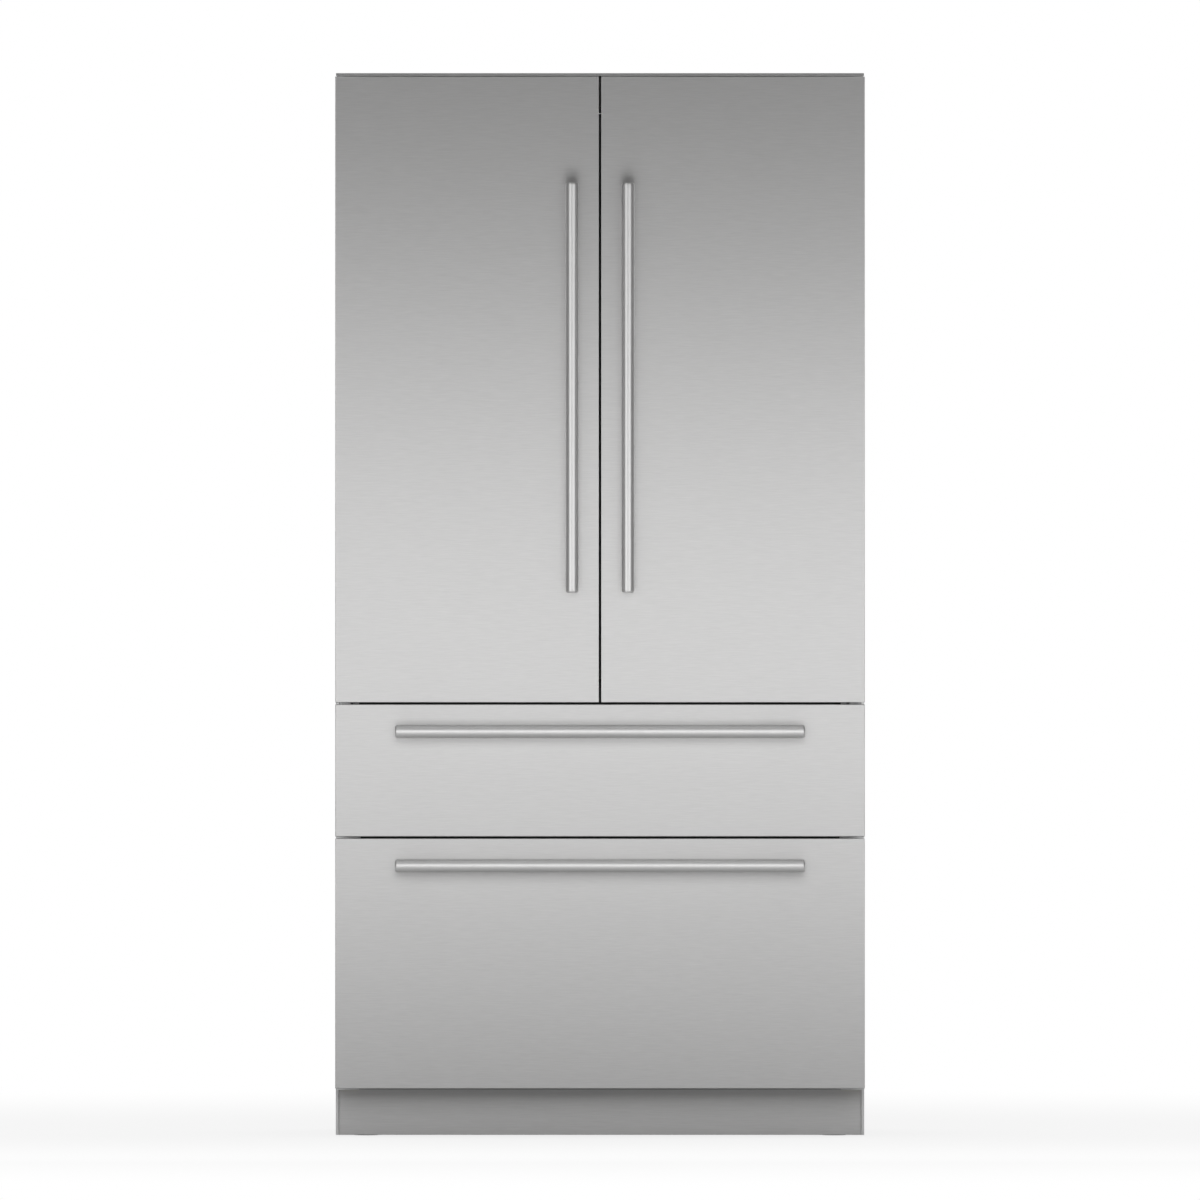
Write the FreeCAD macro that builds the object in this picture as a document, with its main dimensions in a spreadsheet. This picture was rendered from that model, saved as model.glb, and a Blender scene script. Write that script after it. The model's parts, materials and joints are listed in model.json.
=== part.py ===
# Built-in french door refrigerator: two doors above two freezer drawers, in millimetres.
# +X is the viewer's right, +Y runs to the back, +Z is up. The floor is Z = 0 and the origin lies
# under the middle of the whole outline, handles included.
import FreeCAD, Part
import math
import operator
import os

import Sketcher

DIMENSIONS = {
    # Fronts, from the floor up
    "overall_width": 1060,
    "reveal": 4,
    "toe_height": 97,
    "lower_front_height": 500.5,
    "upper_front_height": 264.5,
    "door_height": 1253,
    "panel_thickness": 19,
    "panel_edge": 1.5,
    "core_thickness": 55,
    "core_inset": 8,
    "core_edge": 3,
    "hinge_space": 16,
    # Magnetic seals
    "gasket_thickness": 10,
    "gasket_width": 14,
    "gasket_margin": 7,
    "gasket_free_inset": 10,
    "gasket_groove": 3,
    # Cabinet
    "unit_depth": 628,
    "sheet_metal": 1,
    "side_lift": 2,
    "side_wall": 50,
    "top_wall": 48,
    "back_wall": 50,
    "floor_wall": 43,
    "partition": 70,
    "divider_height": 68,
    "rail_depth": 16,
    "rail_sheet": 2,
    "liner_wall": 3,
    "liner_corner": 12,
    "fixing_radius": 2.75,
    "fixing_depth": 20,
    "fixing_setback": 22,
    "fixing_low": 300,
    "fixing_spacing": 1500,
    "vent_width": 8,
    "vent_height": 46,
    "vent_pitch": 24,
    "vent_margin": 60,
    "vent_low": 130,
    "cable_entry_radius": 10,
    "cable_entry_inset": 60,
    # Base, toe kick and feet
    "base_top": 92,
    "base_bottom": 28,
    "base_sheet": 2,
    "toe_recess": 10,
    "toe_flange": 12,
    "toe_sheet": 1.5,
    "toe_stile": 5.5,
    "toe_lift": 2,
    "foot_radius": 24,
    "foot_height": 8,
    "foot_stud_radius": 6,
    "foot_nut_radius": 13,
    "foot_nut_height": 9,
    "foot_stud_rise": 26,
    "foot_side_inset": 60,
    "foot_front_inset": 60,
    "foot_back_inset": 45,
    # Trim along the top
    "trim_gap": 1,
    "trim_height": 6,
    "trim_setback": 3,
    "trim_depth": 158,
    "trim_sheet": 1.5,
    "trim_end_gap": 1.5,
    # Door hinges
    "hinge_inset": 20,
    "hinge_setback": 50,
    "hinge_gap": 4,
    "hinge_plate": 5,
    "hinge_nose": 14,
    "hinge_leaf": 66,
    "hinge_leaf_height": 20,
    "hinge_pin_radius": 5,
    "hinge_pin_depth": 30,
    "running_clearance": 0.05,
    # Handles
    "handle_radius": 13,
    "handle_length": 820,
    "handle_reach": 65,
    "handle_inset": 54,
    "handle_lift": 3,
    "handle_end": 2.5,
    "post_length": 80,
    "post_width": 14,
    "post_end_offset": 7,
    # Inside of the doors
    "door_liner_sheet": 4,
    "door_liner_gap": 1,
    "dyke_clearance": 12,
    "dyke_width": 30,
    "dyke_depth": 72,
    "dyke_end_clearance": 15,
    "dyke_free_inset": 60,
    "dyke_edge": 8,
    "bin_wall": 3,
    "bin_height": 110,
    "bin_depth": 92,
    "bin_corner": 14,
    "bin_side_gap": 0.3,
    "bin_first": 60,
    "bin_pitch": 340,
    "lug_height": 8,
    "lug_reach": 10,
    "lug_length": 60,
    # Folding mullion on the left door
    "flipper_reach": 40,
    "flipper_pivot_inset": 36,
    "flipper_thickness": 18,
    "flipper_gap": 0.3,
    "flipper_end_gap": 13,
    "flipper_pin_radius": 3,
    "flipper_pin_length": 6,
    "ear_thickness": 6,
    "ear_gap": 0.5,
    # Drawers and their runners
    "drawer_wall": 3,
    "drawer_corner": 18,
    "drawer_back_gap": 15,
    "drawer_floor_gap": 12,
    "drawer_head_gap": 34,
    "step_gap": 15,
    "slide_height": 45,
    "slide_sheet": 1.5,
    "slide_end_gap": 1.6,
    "slide_thickness": 13,
    "slide_clearance": 0.4,
    "slide_length": 400,
    "slide_front": 92,
    "upper_slide_rise": 24,
    "lower_slide_rise": 44,
    # Fresh food compartment
    "shelf_front": 190,
    "shelf_back_gap": 33,
    "shelf_side_gap": 10,
    "shelf_middle_gap": 6,
    "shelf_first": 283,
    "shelf_pitch": 300,
    "glass_thickness": 5,
    "shelf_trim_depth": 10,
    "shelf_trim_drop": 14,
    "shelf_trim_edge": 4,
    "arm_sheet": 3,
    "arm_back_height": 46,
    "arm_front_height": 12,
    "track_side_inset": 40,
    "track_inner": 105,
    "track_width": 18,
    "track_depth": 8,
    "track_sheet": 2,
    "track_foot_gap": 23,
    "track_head_gap": 20,
    "track_slot_width": 5,
    "track_slot_height": 16,
    "track_slot_pitch": 40,
    "crisper_height": 222,
    "crisper_side_gap": 16,
    "crisper_back_gap": 23,
    "crisper_wall": 3,
    "crisper_corner": 16,
    "crisper_grip_width": 180,
    "crisper_grip_drop": 26,
    "cover_gap": 6,
    "cover_thickness": 24,
    "cover_border": 26,
    "cover_ledge": 6,
    "duct_width": 160,
    "duct_depth": 25,
    "duct_sheet": 2.5,
    "duct_edge": 10,
    "louvre_width": 90,
    "louvre_height": 6,
    "louvre_pitch": 60,
    "light_width": 420,
    "light_front": 270,
    "light_back": 370,
    "light_drop": 10,
    "light_edge": 5,
    "console_width": 340,
    "console_front": 186,
    "console_back": 250,
    "console_drop": 20,
    "console_slope": 16,
    # Cooling system
    "cover_plate": 3,
    "evaporator_depth": 73,
    "evaporator_side_gap": 50,
    "evaporator_floor_gap": 122,
    "evaporator_head_gap": 10,
    "grille_slot": 10,
    "grille_pitch": 20,
    "intake_width": 86,
    "intake_pitch": 215,
    "intake_rise": 20,
    "coil_side_gap": 45,
    "coil_fan_gap": 13,
    "coil_foot_gap": 20,
    "coil_setback": 12,
    "coil_plate": 2,
    "fin_sheet": 3,
    "fin_inset": 3,
    "fin_depth": 14,
    "fin_pitch": 20,
    "tube_end": 14,
    "tube_radius": 4,
    "evaporator_fan_radius": 52,
    "evaporator_fan_drop": 85,
    "condenser_fan_radius": 78,
    "fan_hub_radius": 16,
    "fan_hub_length": 18,
    "fan_blade_sheet": 2,
    "fan_shaft_radius": 3,
    "fan_running_gap": 3,
    "fan_tip_gap": 5,
    "motor_radius": 20,
    "motor_length": 24,
    "machine_depth": 215,
    "machine_top": 290,
    "machine_wall": 43,
    "compressor_inset": 270,
    "compressor_radius": 88,
    "compressor_height": 176,
    "compressor_foot": 12,
    "compressor_foot_radius": 9.6,
    "compressor_seam": 5,
    "compressor_plate_width": 230,
    "compressor_plate_depth": 120,
    "compressor_plate": 3,
    "compressor_dome": 42,
    "compressor_crown_radius": 52,
    "terminal_box_width": 54,
    "terminal_box_height": 60,
    "terminal_box_depth": 34,
    "condenser_inset": 90,
    "condenser_width": 210,
    "condenser_height": 190,
    "condenser_margin": 20,
    "shroud_gap": 60,
    "shroud_height": 220,
    "shroud_margin": 8,
    "shroud_sheet": 3,
}

FAN_BLADES = 5
BIN_LEVELS = 3
SHELF_LEVELS = 2
GRILLE_ROWS = 3
INTAKE_SLOTS = 4
# Shares of a thickness that a full rounding takes, and of the hub that the fan blades take
FULL_ROUND = 0.49
BLADE_HEIGHT_SHARE = 0.8
BLADE_ROOT_SHARE = 0.6
BLADE_FLARE = 1.25
FAN_PITCH = math.radians(38)
OPERATORS = {"+": operator.add, "-": operator.sub, "*": operator.mul, "/": operator.truediv}
PLANES = {"XY": ("XY_Plane", 1), "XZ": ("XZ_Plane", -1), "YZ": ("YZ_Plane", 1)}

doc = FreeCAD.newDocument("french_door_refrigerator")
dims = doc.addObject("Spreadsheet::Sheet", "dims")
for row, (alias, number) in enumerate(DIMENSIONS.items(), 1):
    dims.set(f"A{row}", alias)
    dims.set(f"B{row}", str(number))
    dims.setAlias(f"B{row}", alias)
doc.recompute()


class Size:
    """A length together with the sheet expression that gives it."""

    def __init__(self, text, value):
        self.text = text
        self.value = value

    def __add__(self, other):
        return joined(self, "+", other)

    def __radd__(self, other):
        return joined(other, "+", self)

    def __sub__(self, other):
        return joined(self, "-", other)

    def __rsub__(self, other):
        return joined(other, "-", self)

    def __mul__(self, other):
        return joined(self, "*", other)

    def __rmul__(self, other):
        return joined(other, "*", self)

    def __truediv__(self, other):
        return joined(self, "/", other)

    def __neg__(self):
        return joined(-1, "*", self)


def as_size(value):
    return value if isinstance(value, Size) else Size(f"({float(value)!r})", float(value))


def joined(left, sign, right):
    left = as_size(left)
    right = as_size(right)
    value = OPERATORS[sign](left.value, right.value)
    return Size(f"({left.text} {sign} {right.text})", value)


class SheetSizes:
    """Each cell of the sheet as a Size, by its alias."""

    def __getattr__(self, alias):
        return Size(f"dims.{alias}", float(dims.get(alias)))


def bind(item, path, size):
    item.setExpression(path, as_size(size).text)


# Sketches and features


def new_body(label):
    body = doc.addObject("PartDesign::Body", label)
    body.Label = label
    return body


def origin_feature(body, role):
    return next(feature for feature in body.Origin.OriginFeatures if feature.Role == role)


def sketch_on(body, plane, at):
    role, facing = PLANES[plane]
    sketch = body.newObject("Sketcher::SketchObject", "Outline")
    sketch.AttachmentSupport = [(origin_feature(body, role), "")]
    sketch.MapMode = "FlatFace"
    bind(sketch, "AttachmentOffset.Base.z", as_size(at) * facing)
    return sketch


def pin_point(sketch, geometry, end, point):
    for kind, size in zip(("DistanceX", "DistanceY"), point):
        size = as_size(size)
        index = sketch.addConstraint(
            Sketcher.Constraint(kind, -1, 1, geometry, end, size.value)
        )
        bind(sketch, f"Constraints[{index}]", size)


def polygon(*points):
    """A closed outline of straight lines whose corners are bound to the sheet."""

    def draw(sketch):
        first = len(sketch.Geometry)
        count = len(points)
        flat = [FreeCAD.Vector(as_size(u).value, as_size(v).value, 0) for u, v in points]
        ends = flat[1:] + flat[:1]
        sketch.addGeometry([Part.LineSegment(a, b) for a, b in zip(flat, ends)], False)
        for number, point in enumerate(points):
            following = first + (number + 1) % count
            sketch.addConstraint(
                Sketcher.Constraint("Coincident", first + number, 2, following, 1)
            )
            pin_point(sketch, first + number, 1, point)

    return draw


def rectangle(u, v):
    return polygon((u[0], v[0]), (u[1], v[0]), (u[1], v[1]), (u[0], v[1]))


def hexagon(radius):
    corners = [math.radians(60 * number) for number in range(6)]
    return polygon(*[(radius * math.cos(turn), radius * math.sin(turn)) for turn in corners])


def circle(u, v, radius):
    def draw(sketch):
        number = len(sketch.Geometry)
        centre = FreeCAD.Vector(as_size(u).value, as_size(v).value, 0)
        round_outline = Part.Circle(centre, FreeCAD.Vector(0, 0, 1), as_size(radius).value)
        sketch.addGeometry(round_outline, False)
        pin_point(sketch, number, 3, (u, v))
        index = sketch.addConstraint(
            Sketcher.Constraint("Radius", number, as_size(radius).value)
        )
        bind(sketch, f"Constraints[{index}]", radius)

    return draw


def channel(back, lip_end, low, high, sheet, swap=False):
    """A C section: a web at `back` with two lips that run to `lip_end`."""
    toward = 1 if as_size(lip_end).value > as_size(back).value else -1
    inner = back + toward * sheet
    points = [
        (back, low),
        (lip_end, low),
        (lip_end, low + sheet),
        (inner, low + sheet),
        (inner, high - sheet),
        (lip_end, high - sheet),
        (lip_end, high),
        (back, high),
    ]
    return polygon(*[(v, u) if swap else (u, v) for u, v in points])


def extrude(body, kind, plane, outlines, start, end, taper=None):
    """Pads or pockets the outlines from `start` to the larger `end` along the plane's axis."""
    sketch = sketch_on(body, plane, start)
    for outline in outlines:
        outline(sketch)
    feature = body.newObject(f"PartDesign::{kind}", kind)
    feature.Profile = sketch
    bind(feature, "Length", as_size(end) - start)
    backward = PLANES[plane][1] < 0
    feature.Reversed = backward if kind == "Pad" else not backward
    if taper is not None:
        bind(feature, "TaperAngle", taper)
    return feature


def pad(body, plane, outlines, start, end, taper=None):
    return extrude(body, "Pad", plane, outlines, start, end, taper)


def pocket(body, plane, outlines, start, end, taper=None):
    """Cuts the outlines away, and checks that the cut reached the solid."""
    doc.recompute()
    before = body.Tip.Shape.Volume
    feature = extrude(body, "Pocket", plane, outlines, start, end, taper)
    doc.recompute()
    if feature.Shape.Volume >= before:
        raise RuntimeError(f"a pocket in {body.Label} cuts nothing")
    return feature


def revolve(body, outline):
    """Turns a half section, drawn as radius and height, round the body's own Z axis."""
    sketch = sketch_on(body, "XZ", 0)
    outline(sketch)
    feature = body.newObject("PartDesign::Revolution", "Turned")
    feature.Profile = sketch
    feature.ReferenceAxis = (sketch, ["V_Axis"])
    feature.Angle = 360
    return feature


def pattern_along(body, feature, axis, length, count):
    pattern = body.newObject("PartDesign::LinearPattern", "Row")
    pattern.Originals = [feature]
    pattern.Direction = (origin_feature(body, f"{axis}_Axis"), [""])
    bind(pattern, "Length", length)
    pattern.Occurrences = count
    body.Tip = pattern
    return pattern


def fillet(body, radius, chosen):
    """Rounds the edges of the body so far that `chosen` accepts."""
    doc.recompute()
    base = body.Tip
    names = [f"Edge{n}" for n, edge in enumerate(base.Shape.Edges, 1) if chosen(edge)]
    if not names:
        raise RuntimeError(f"no edge to round in {body.Label}")
    feature = body.newObject("PartDesign::Fillet", "Rounding")
    feature.Base = (base, names)
    bind(feature, "Radius", radius)
    return feature


def runs_along(edge, axis):
    if len(edge.Vertexes) != 2:
        return False
    step = edge.Vertexes[1].Point - edge.Vertexes[0].Point
    return abs(abs(step["XYZ".index(axis)]) - edge.Length) < 1e-6


def at_level(shape, axis, size):
    return abs(shape.CenterOfMass["XYZ".index(axis)] - as_size(size).value) < 1e-4


def place(body, x, y, z, turn=None):
    bind(body, "Placement.Base.x", x)
    bind(body, "Placement.Base.y", y)
    bind(body, "Placement.Base.z", z)
    if turn is not None:
        body.Placement = FreeCAD.Placement(body.Placement.Base, turn)


NODES = []


def node(label, *bodies):
    """Registers one sub-part: a body, or several separate solids that share a name."""
    item = bodies[0]
    if len(bodies) > 1:
        item = doc.addObject("Part::Compound", label)
        item.Links = list(bodies)
    item.Label = label
    NODES.append(item)


def both(half):
    return (-half, half)


def inset(pair, wall):
    low, high = sorted(pair, key=lambda size: as_size(size).value)
    return (low + wall, high - wall)


def spread_out(middle, pitch, count):
    """Places of `count` things, one pitch apart, on both sides of the middle."""
    return [middle + (number - (count - 1) / 2) * pitch for number in range(count)]


def count_between(length, pitch):
    return int(length.value // pitch.value) + 1


# Levels and planes that several pieces share

d = SheetSizes()
y_face = (d.handle_reach - d.unit_depth) / 2
y_back = y_face + d.unit_depth
y_core = y_face + d.panel_thickness
y_seal = y_core + d.core_thickness
y_cabinet = y_seal + d.gasket_thickness
y_inside = y_back - d.back_wall
y_machine = y_back - d.machine_depth
y_toe = y_cabinet + d.toe_recess
y_base = y_toe + d.toe_flange
y_hinge = y_face + d.hinge_setback
y_bar = y_face - d.handle_reach + d.handle_radius
y_evaporator = y_inside - d.evaporator_depth

x_side = d.overall_width / 2
x_skin = x_side - d.sheet_metal
x_inside = x_side - d.side_wall
x_liner = x_inside + d.liner_wall
x_hinge = x_side - d.hinge_inset
x_track = x_inside - d.track_side_inset
x_evaporator = x_inside - d.evaporator_side_gap

z_lower = d.toe_height
z_lower_top = z_lower + d.lower_front_height
z_upper = z_lower_top + d.reveal
z_upper_top = z_upper + d.upper_front_height
z_door = z_upper_top + d.reveal
z_door_top = z_door + d.door_height
z_trim = z_door_top + d.trim_gap
z_top = z_trim + d.trim_height
z_core_top = z_door_top - d.hinge_space
z_roof = z_core_top + d.hinge_gap
z_fresh = z_door + d.partition / 2
z_fresh_top = z_roof - d.top_wall
z_cover = z_fresh + d.crisper_height + d.cover_gap
z_cover_top = z_cover + d.cover_thickness
z_track = z_cover_top + d.track_foot_gap
z_freezer = d.base_top + d.floor_wall
z_freezer_top = z_door - d.partition / 2
z_step = d.machine_top + d.machine_wall
z_divider = z_lower_top + d.reveal / 2
z_hinge_gap = z_upper_top + d.reveal / 2
z_pan = d.base_bottom + d.base_sheet


# Cabinet


def cabinet_panels():
    """Side and top sheets, folded at the front into a flange that the seals close on."""
    y_fold = y_cabinet + d.sheet_metal
    z_sheet = z_roof - d.sheet_metal
    sides = []
    for side, name in ((-1, "left"), (1, "right")):
        body = new_body(f"{name}_side_panel")
        section = polygon(
            (side * x_side, y_cabinet),
            (side * x_side, y_back),
            (side * x_skin, y_back),
            (side * x_skin, y_fold),
            (side * x_liner, y_fold),
            (side * x_liner, y_cabinet),
        )
        pad(body, "XY", [section], d.side_lift, z_sheet)
        toe = rectangle((0, side * (x_side - d.toe_stile)), (0, d.base_top))
        pocket(body, "XZ", [toe], y_cabinet, y_fold)
        pocket(body, "YZ", fixing_holes(), -x_side, x_side)
        sides.append(body)
    node("side_panels", *sides)

    top = new_body("top_panel")
    pad(top, "XY", [rectangle(both(x_side), (y_cabinet, y_back))], z_sheet, z_roof)
    flange = rectangle(both(x_liner), (z_fresh_top + d.liner_wall, z_sheet))
    pad(top, "XZ", [flange], y_cabinet, y_fold)
    node("top_panel", top)


def fixing_holes():
    y = y_cabinet + d.fixing_setback
    levels = (d.fixing_low, d.fixing_low + d.fixing_spacing)
    return [circle(y, z, d.fixing_radius) for z in levels]


def back_panel():
    """Rear sheet with two rows of air slots to the machine room and the cable's entry."""
    body = new_body("back_panel")
    sheet = rectangle(both(x_skin), (d.base_bottom, z_roof - d.sheet_metal))
    pad(body, "XZ", [sheet], y_back - d.sheet_metal, y_back)
    for side in (-1, 1):
        inner = x_side - d.vent_margin
        row = inner - d.cable_entry_inset * 2
        start = side * inner
        edges = (start, start - side * d.vent_width)
        slot = rectangle(edges, (d.vent_low, d.vent_low + d.vent_height))
        cut = pocket(body, "XZ", [slot], y_back - d.sheet_metal, y_back)
        count = count_between(row, d.vent_pitch)
        vents = pattern_along(body, cut, "X", d.vent_pitch * (count - 1), count)
        vents.Reversed = side > 0
    entry = circle(0, z_pan + d.cable_entry_inset, d.cable_entry_radius)
    pocket(body, "XZ", [entry], y_back - d.sheet_metal, y_back)
    node("back_panel", body)


def foot_places():
    x = x_side - d.foot_side_inset
    front = y_base + d.foot_front_inset
    back = y_back - d.foot_back_inset
    return [(-x, front), (x, front), (-x, back), (x, back)]


def base_frame():
    """Pressed base pan that carries the cabinet, the compressor and the feet."""
    body = new_body("base_frame")
    outer = rectangle(both(x_skin), (y_base, y_back - d.sheet_metal))
    pad(body, "XY", [outer], d.base_bottom, d.base_top)
    inner_y = (y_base + d.base_sheet, y_back - d.sheet_metal - d.base_sheet)
    inner = rectangle(both(x_skin - d.base_sheet), inner_y)
    pocket(body, "XY", [inner], z_pan, d.base_top)
    radius = d.foot_stud_radius + d.running_clearance
    studs = [circle(x, y, radius) for x, y in foot_places()]
    pocket(body, "XY", studs, d.base_bottom, z_pan)
    node("base_frame", body)


def levelling_feet():
    feet = []
    for number, (x, y) in enumerate(foot_places(), 1):
        body = new_body(f"foot_{number}")
        tip = d.base_bottom + d.foot_stud_rise
        section = polygon(
            (0, 0),
            (d.foot_radius, 0),
            (d.foot_radius, d.foot_height / 2),
            (d.foot_nut_radius, d.foot_height),
            (d.foot_stud_radius, d.foot_height),
            (d.foot_stud_radius, tip),
            (0, tip),
        )
        revolve(body, section)
        nut = d.base_bottom - d.foot_nut_height
        pad(body, "XY", [hexagon(d.foot_nut_radius)], nut, d.base_bottom)
        place(body, x, y, 0)
        feet.append(body)
    node("levelling_feet", *feet)


def freezer_section(grow, front):
    """Side outline of the freezer space, with its step over the machine room."""
    step = y_machine - d.machine_wall + grow
    return polygon(
        (front, z_freezer - grow),
        (step, z_freezer - grow),
        (step, z_step - grow),
        (y_inside + grow, z_step - grow),
        (y_inside + grow, z_freezer_top + grow),
        (front, z_freezer_top + grow),
    )


def insulation():
    """Foam body, moulded round both liners, the front rails and the machine room."""
    body = new_body("insulation")
    front = y_cabinet + d.sheet_metal
    outer = rectangle(both(x_skin), (d.base_top, z_roof - d.sheet_metal))
    pad(body, "XZ", [outer], front, y_back - d.sheet_metal)
    fresh = rectangle(both(x_liner), (z_fresh - d.liner_wall, z_fresh_top + d.liner_wall))
    pocket(body, "XZ", [fresh], y_cabinet, y_inside + d.liner_wall)
    pocket(body, "YZ", [freezer_section(d.liner_wall, y_cabinet)], -x_liner, x_liner)
    room = rectangle((y_machine, y_back), (0, d.machine_top))
    pocket(body, "YZ", [room], -x_side, x_side)
    partition = (z_freezer_top + d.liner_wall, z_fresh - d.liner_wall)
    for levels in (partition, (0, z_freezer - d.liner_wall)):
        rail = rectangle(both(x_liner), levels)
        pocket(body, "XZ", [rail], y_cabinet, y_cabinet + d.rail_depth)
    pocket(body, "YZ", fixing_holes(), -x_side, -x_side + d.fixing_depth)
    pocket(body, "YZ", fixing_holes(), x_side - d.fixing_depth, x_side)
    node("insulation", body)


def liners():
    """Thermoformed liners of the fresh food and freezer compartments."""
    body = new_body("fresh_food_liner")
    wall = d.liner_wall
    outer = rectangle(both(x_liner), (z_fresh - wall, z_fresh_top + wall))
    pad(body, "XZ", [outer], y_cabinet, y_inside + wall)
    inner = rectangle(both(x_inside), (z_fresh, z_fresh_top))
    pocket(body, "XZ", [inner], y_cabinet, y_inside)

    def inner_corner(edge):
        return at_level(edge, "Y", y_inside) or (
            runs_along(edge, "Y") and abs(abs(edge.CenterOfMass.x) - x_inside.value) < 1e-4
        )

    fillet(body, d.liner_corner, inner_corner)
    node("fresh_food_liner", body)

    body = new_body("freezer_liner")
    pad(body, "YZ", [freezer_section(wall, y_cabinet)], -x_liner, x_liner)
    pocket(body, "YZ", [freezer_section(0, y_cabinet - wall)], -x_inside, x_inside)
    node("freezer_liner", body)


def front_rails():
    """Channel rails across the front that the seals close on between the openings."""
    wall = d.liner_wall
    half = d.divider_height / 2
    rails = []
    for label, low, high, width in (
        ("partition_rail", z_freezer_top + wall, z_fresh - wall, x_liner),
        ("divider_rail", z_divider - half, z_divider + half, x_inside),
        ("floor_rail", d.base_top, z_freezer - wall, x_liner),
    ):
        body = new_body(label)
        section = channel(y_cabinet, y_cabinet + d.rail_depth, low, high, d.rail_sheet)
        pad(body, "YZ", [section], -width, width)
        rails.append(body)
    node("front_rails", *rails)


def top_trim():
    """Folded cover along the top that hides the hinges and shows as a thin strip."""
    body = new_body("top_trim")
    sheet = d.trim_sheet
    front = y_face + d.trim_setback
    back = front + d.trim_depth
    section = polygon(
        (front, z_trim),
        (front + sheet, z_trim),
        (front + sheet, z_top - sheet),
        (back - sheet, z_top - sheet),
        (back - sheet, z_roof),
        (back, z_roof),
        (back, z_top),
        (front, z_top),
    )
    half = x_side - d.trim_end_gap
    pad(body, "YZ", [section], -half, half)
    node("top_trim", body)


def toe_kick():
    body = new_body("toe_kick")
    section = channel(y_toe, y_base, d.toe_lift, d.base_top, d.toe_sheet)
    half = x_side - d.toe_stile
    pad(body, "YZ", [section], -half, half)
    node("toe_kick", body)


# Hinges


def hinges():
    """Top plates on the roof and lower angle brackets in the gap, each with a fixed pin."""
    brackets = []
    pins = []
    low = z_hinge_gap - d.hinge_plate / 2
    for side, name in ((-1, "left"), (1, "right")):
        x = side * x_hinge
        width = (x - d.hinge_nose, x + d.hinge_nose)
        hole = circle(x, y_hinge, d.hinge_pin_radius)
        nose = y_hinge - d.hinge_nose

        def nose_edge(edge):
            return runs_along(edge, "Z") and at_level(edge, "Y", nose)

        top = new_body(f"{name}_top_hinge")
        plate = rectangle(width, (nose, y_cabinet + d.hinge_leaf))
        pad(top, "XY", [plate], z_roof, z_roof + d.hinge_plate)
        pocket(top, "XY", [hole], z_roof, z_roof + d.hinge_plate)
        fillet(top, d.hinge_nose / 2, nose_edge)

        bottom = new_body(f"{name}_bottom_hinge")
        plate = rectangle(width, (nose, y_cabinet))
        pad(bottom, "XY", [plate], low, low + d.hinge_plate)
        leaf_half = d.hinge_leaf_height / 2
        leaf = rectangle(width, (z_hinge_gap - leaf_half, z_hinge_gap + leaf_half))
        pad(bottom, "XZ", [leaf], y_cabinet - d.hinge_plate, y_cabinet)
        pocket(bottom, "XY", [hole], low, low + d.hinge_plate)
        fillet(bottom, d.hinge_nose / 2, nose_edge)
        brackets += [top, bottom]

        upper_pin = new_body(f"{name}_upper_pin")
        foot = z_core_top - d.hinge_pin_depth
        pad(upper_pin, "XY", [hole], foot, z_roof + d.hinge_plate)
        lower_pin = new_body(f"{name}_lower_pin")
        head = z_door + d.core_inset + d.hinge_pin_depth
        pad(lower_pin, "XY", [hole], low, head)
        pins += [upper_pin, lower_pin]
    node("hinge_brackets", *brackets)
    node("hinge_pins", *pins)


# Fronts


def steel_panel(label, x, z):
    """Stainless front with softened edges."""
    body = new_body(label)
    pad(body, "XZ", [rectangle(x, z)], y_face, y_core)
    fillet(body, d.panel_edge, lambda edge: at_level(edge, "Y", y_face))
    node(label, body)


def seal(label, x, z):
    """Magnetic gasket: a closed frame with a bellows groove round its outside."""
    body = new_body(label)
    width = d.gasket_width
    left, right = x
    low, high = z
    outer = rectangle((left, right), (low, high))
    inner = rectangle((left + width, right - width), (low + width, high - width))
    pad(body, "XZ", [outer, inner], y_seal, y_cabinet)
    groove = d.gasket_groove
    waist = rectangle(
        (left + groove, right - groove), (low + groove, high - groove)
    )
    start = y_seal + groove
    pocket(body, "XZ", [outer, waist], start, start + groove)
    node(label, body)


def handle(name, x, z, upright):
    """Round bar on two elongated posts whose saddles fit the bar."""
    bar = new_body(f"{name}_handle_bar")
    half = d.handle_length / 2
    radius = d.handle_radius
    neck = radius - d.handle_end
    shoulder = half - d.handle_end
    section = polygon(
        (0, -half), (neck, -half), (radius, -shoulder), (radius, shoulder), (neck, half), (0, half)
    )
    revolve(bar, section)
    turn = None if upright else FreeCAD.Rotation(FreeCAD.Vector(0, 1, 0), 90)
    place(bar, x, y_bar, z, turn)
    node(f"{name}_handle_bar", bar)

    posts = []
    for side, end in ((-1, "first"), (1, "second")):
        body = new_body(f"{name}_handle_{end}_post")
        outer = half - d.post_end_offset
        long = (side * outer, side * (outer - d.post_length))
        across = both(d.post_width / 2)
        if upright:
            outline = rectangle((x + across[0], x + across[1]), (z + long[0], z + long[1]))
            saddle = ("XY", circle(x, y_bar, radius), z - half, z + half)
        else:
            outline = rectangle((x + long[0], x + long[1]), (z + across[0], z + across[1]))
            saddle = ("YZ", circle(y_bar, z, radius), x - half, x + half)
        pad(body, "XZ", [outline], y_bar, y_face)
        fillet(body, d.post_width * FULL_ROUND, lambda edge: runs_along(edge, "Y"))
        plane, outline, start, end_at = saddle
        pocket(body, plane, [outline], start, end_at)
        posts.append(body)
    node(f"{name}_handle_posts", *posts)


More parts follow.
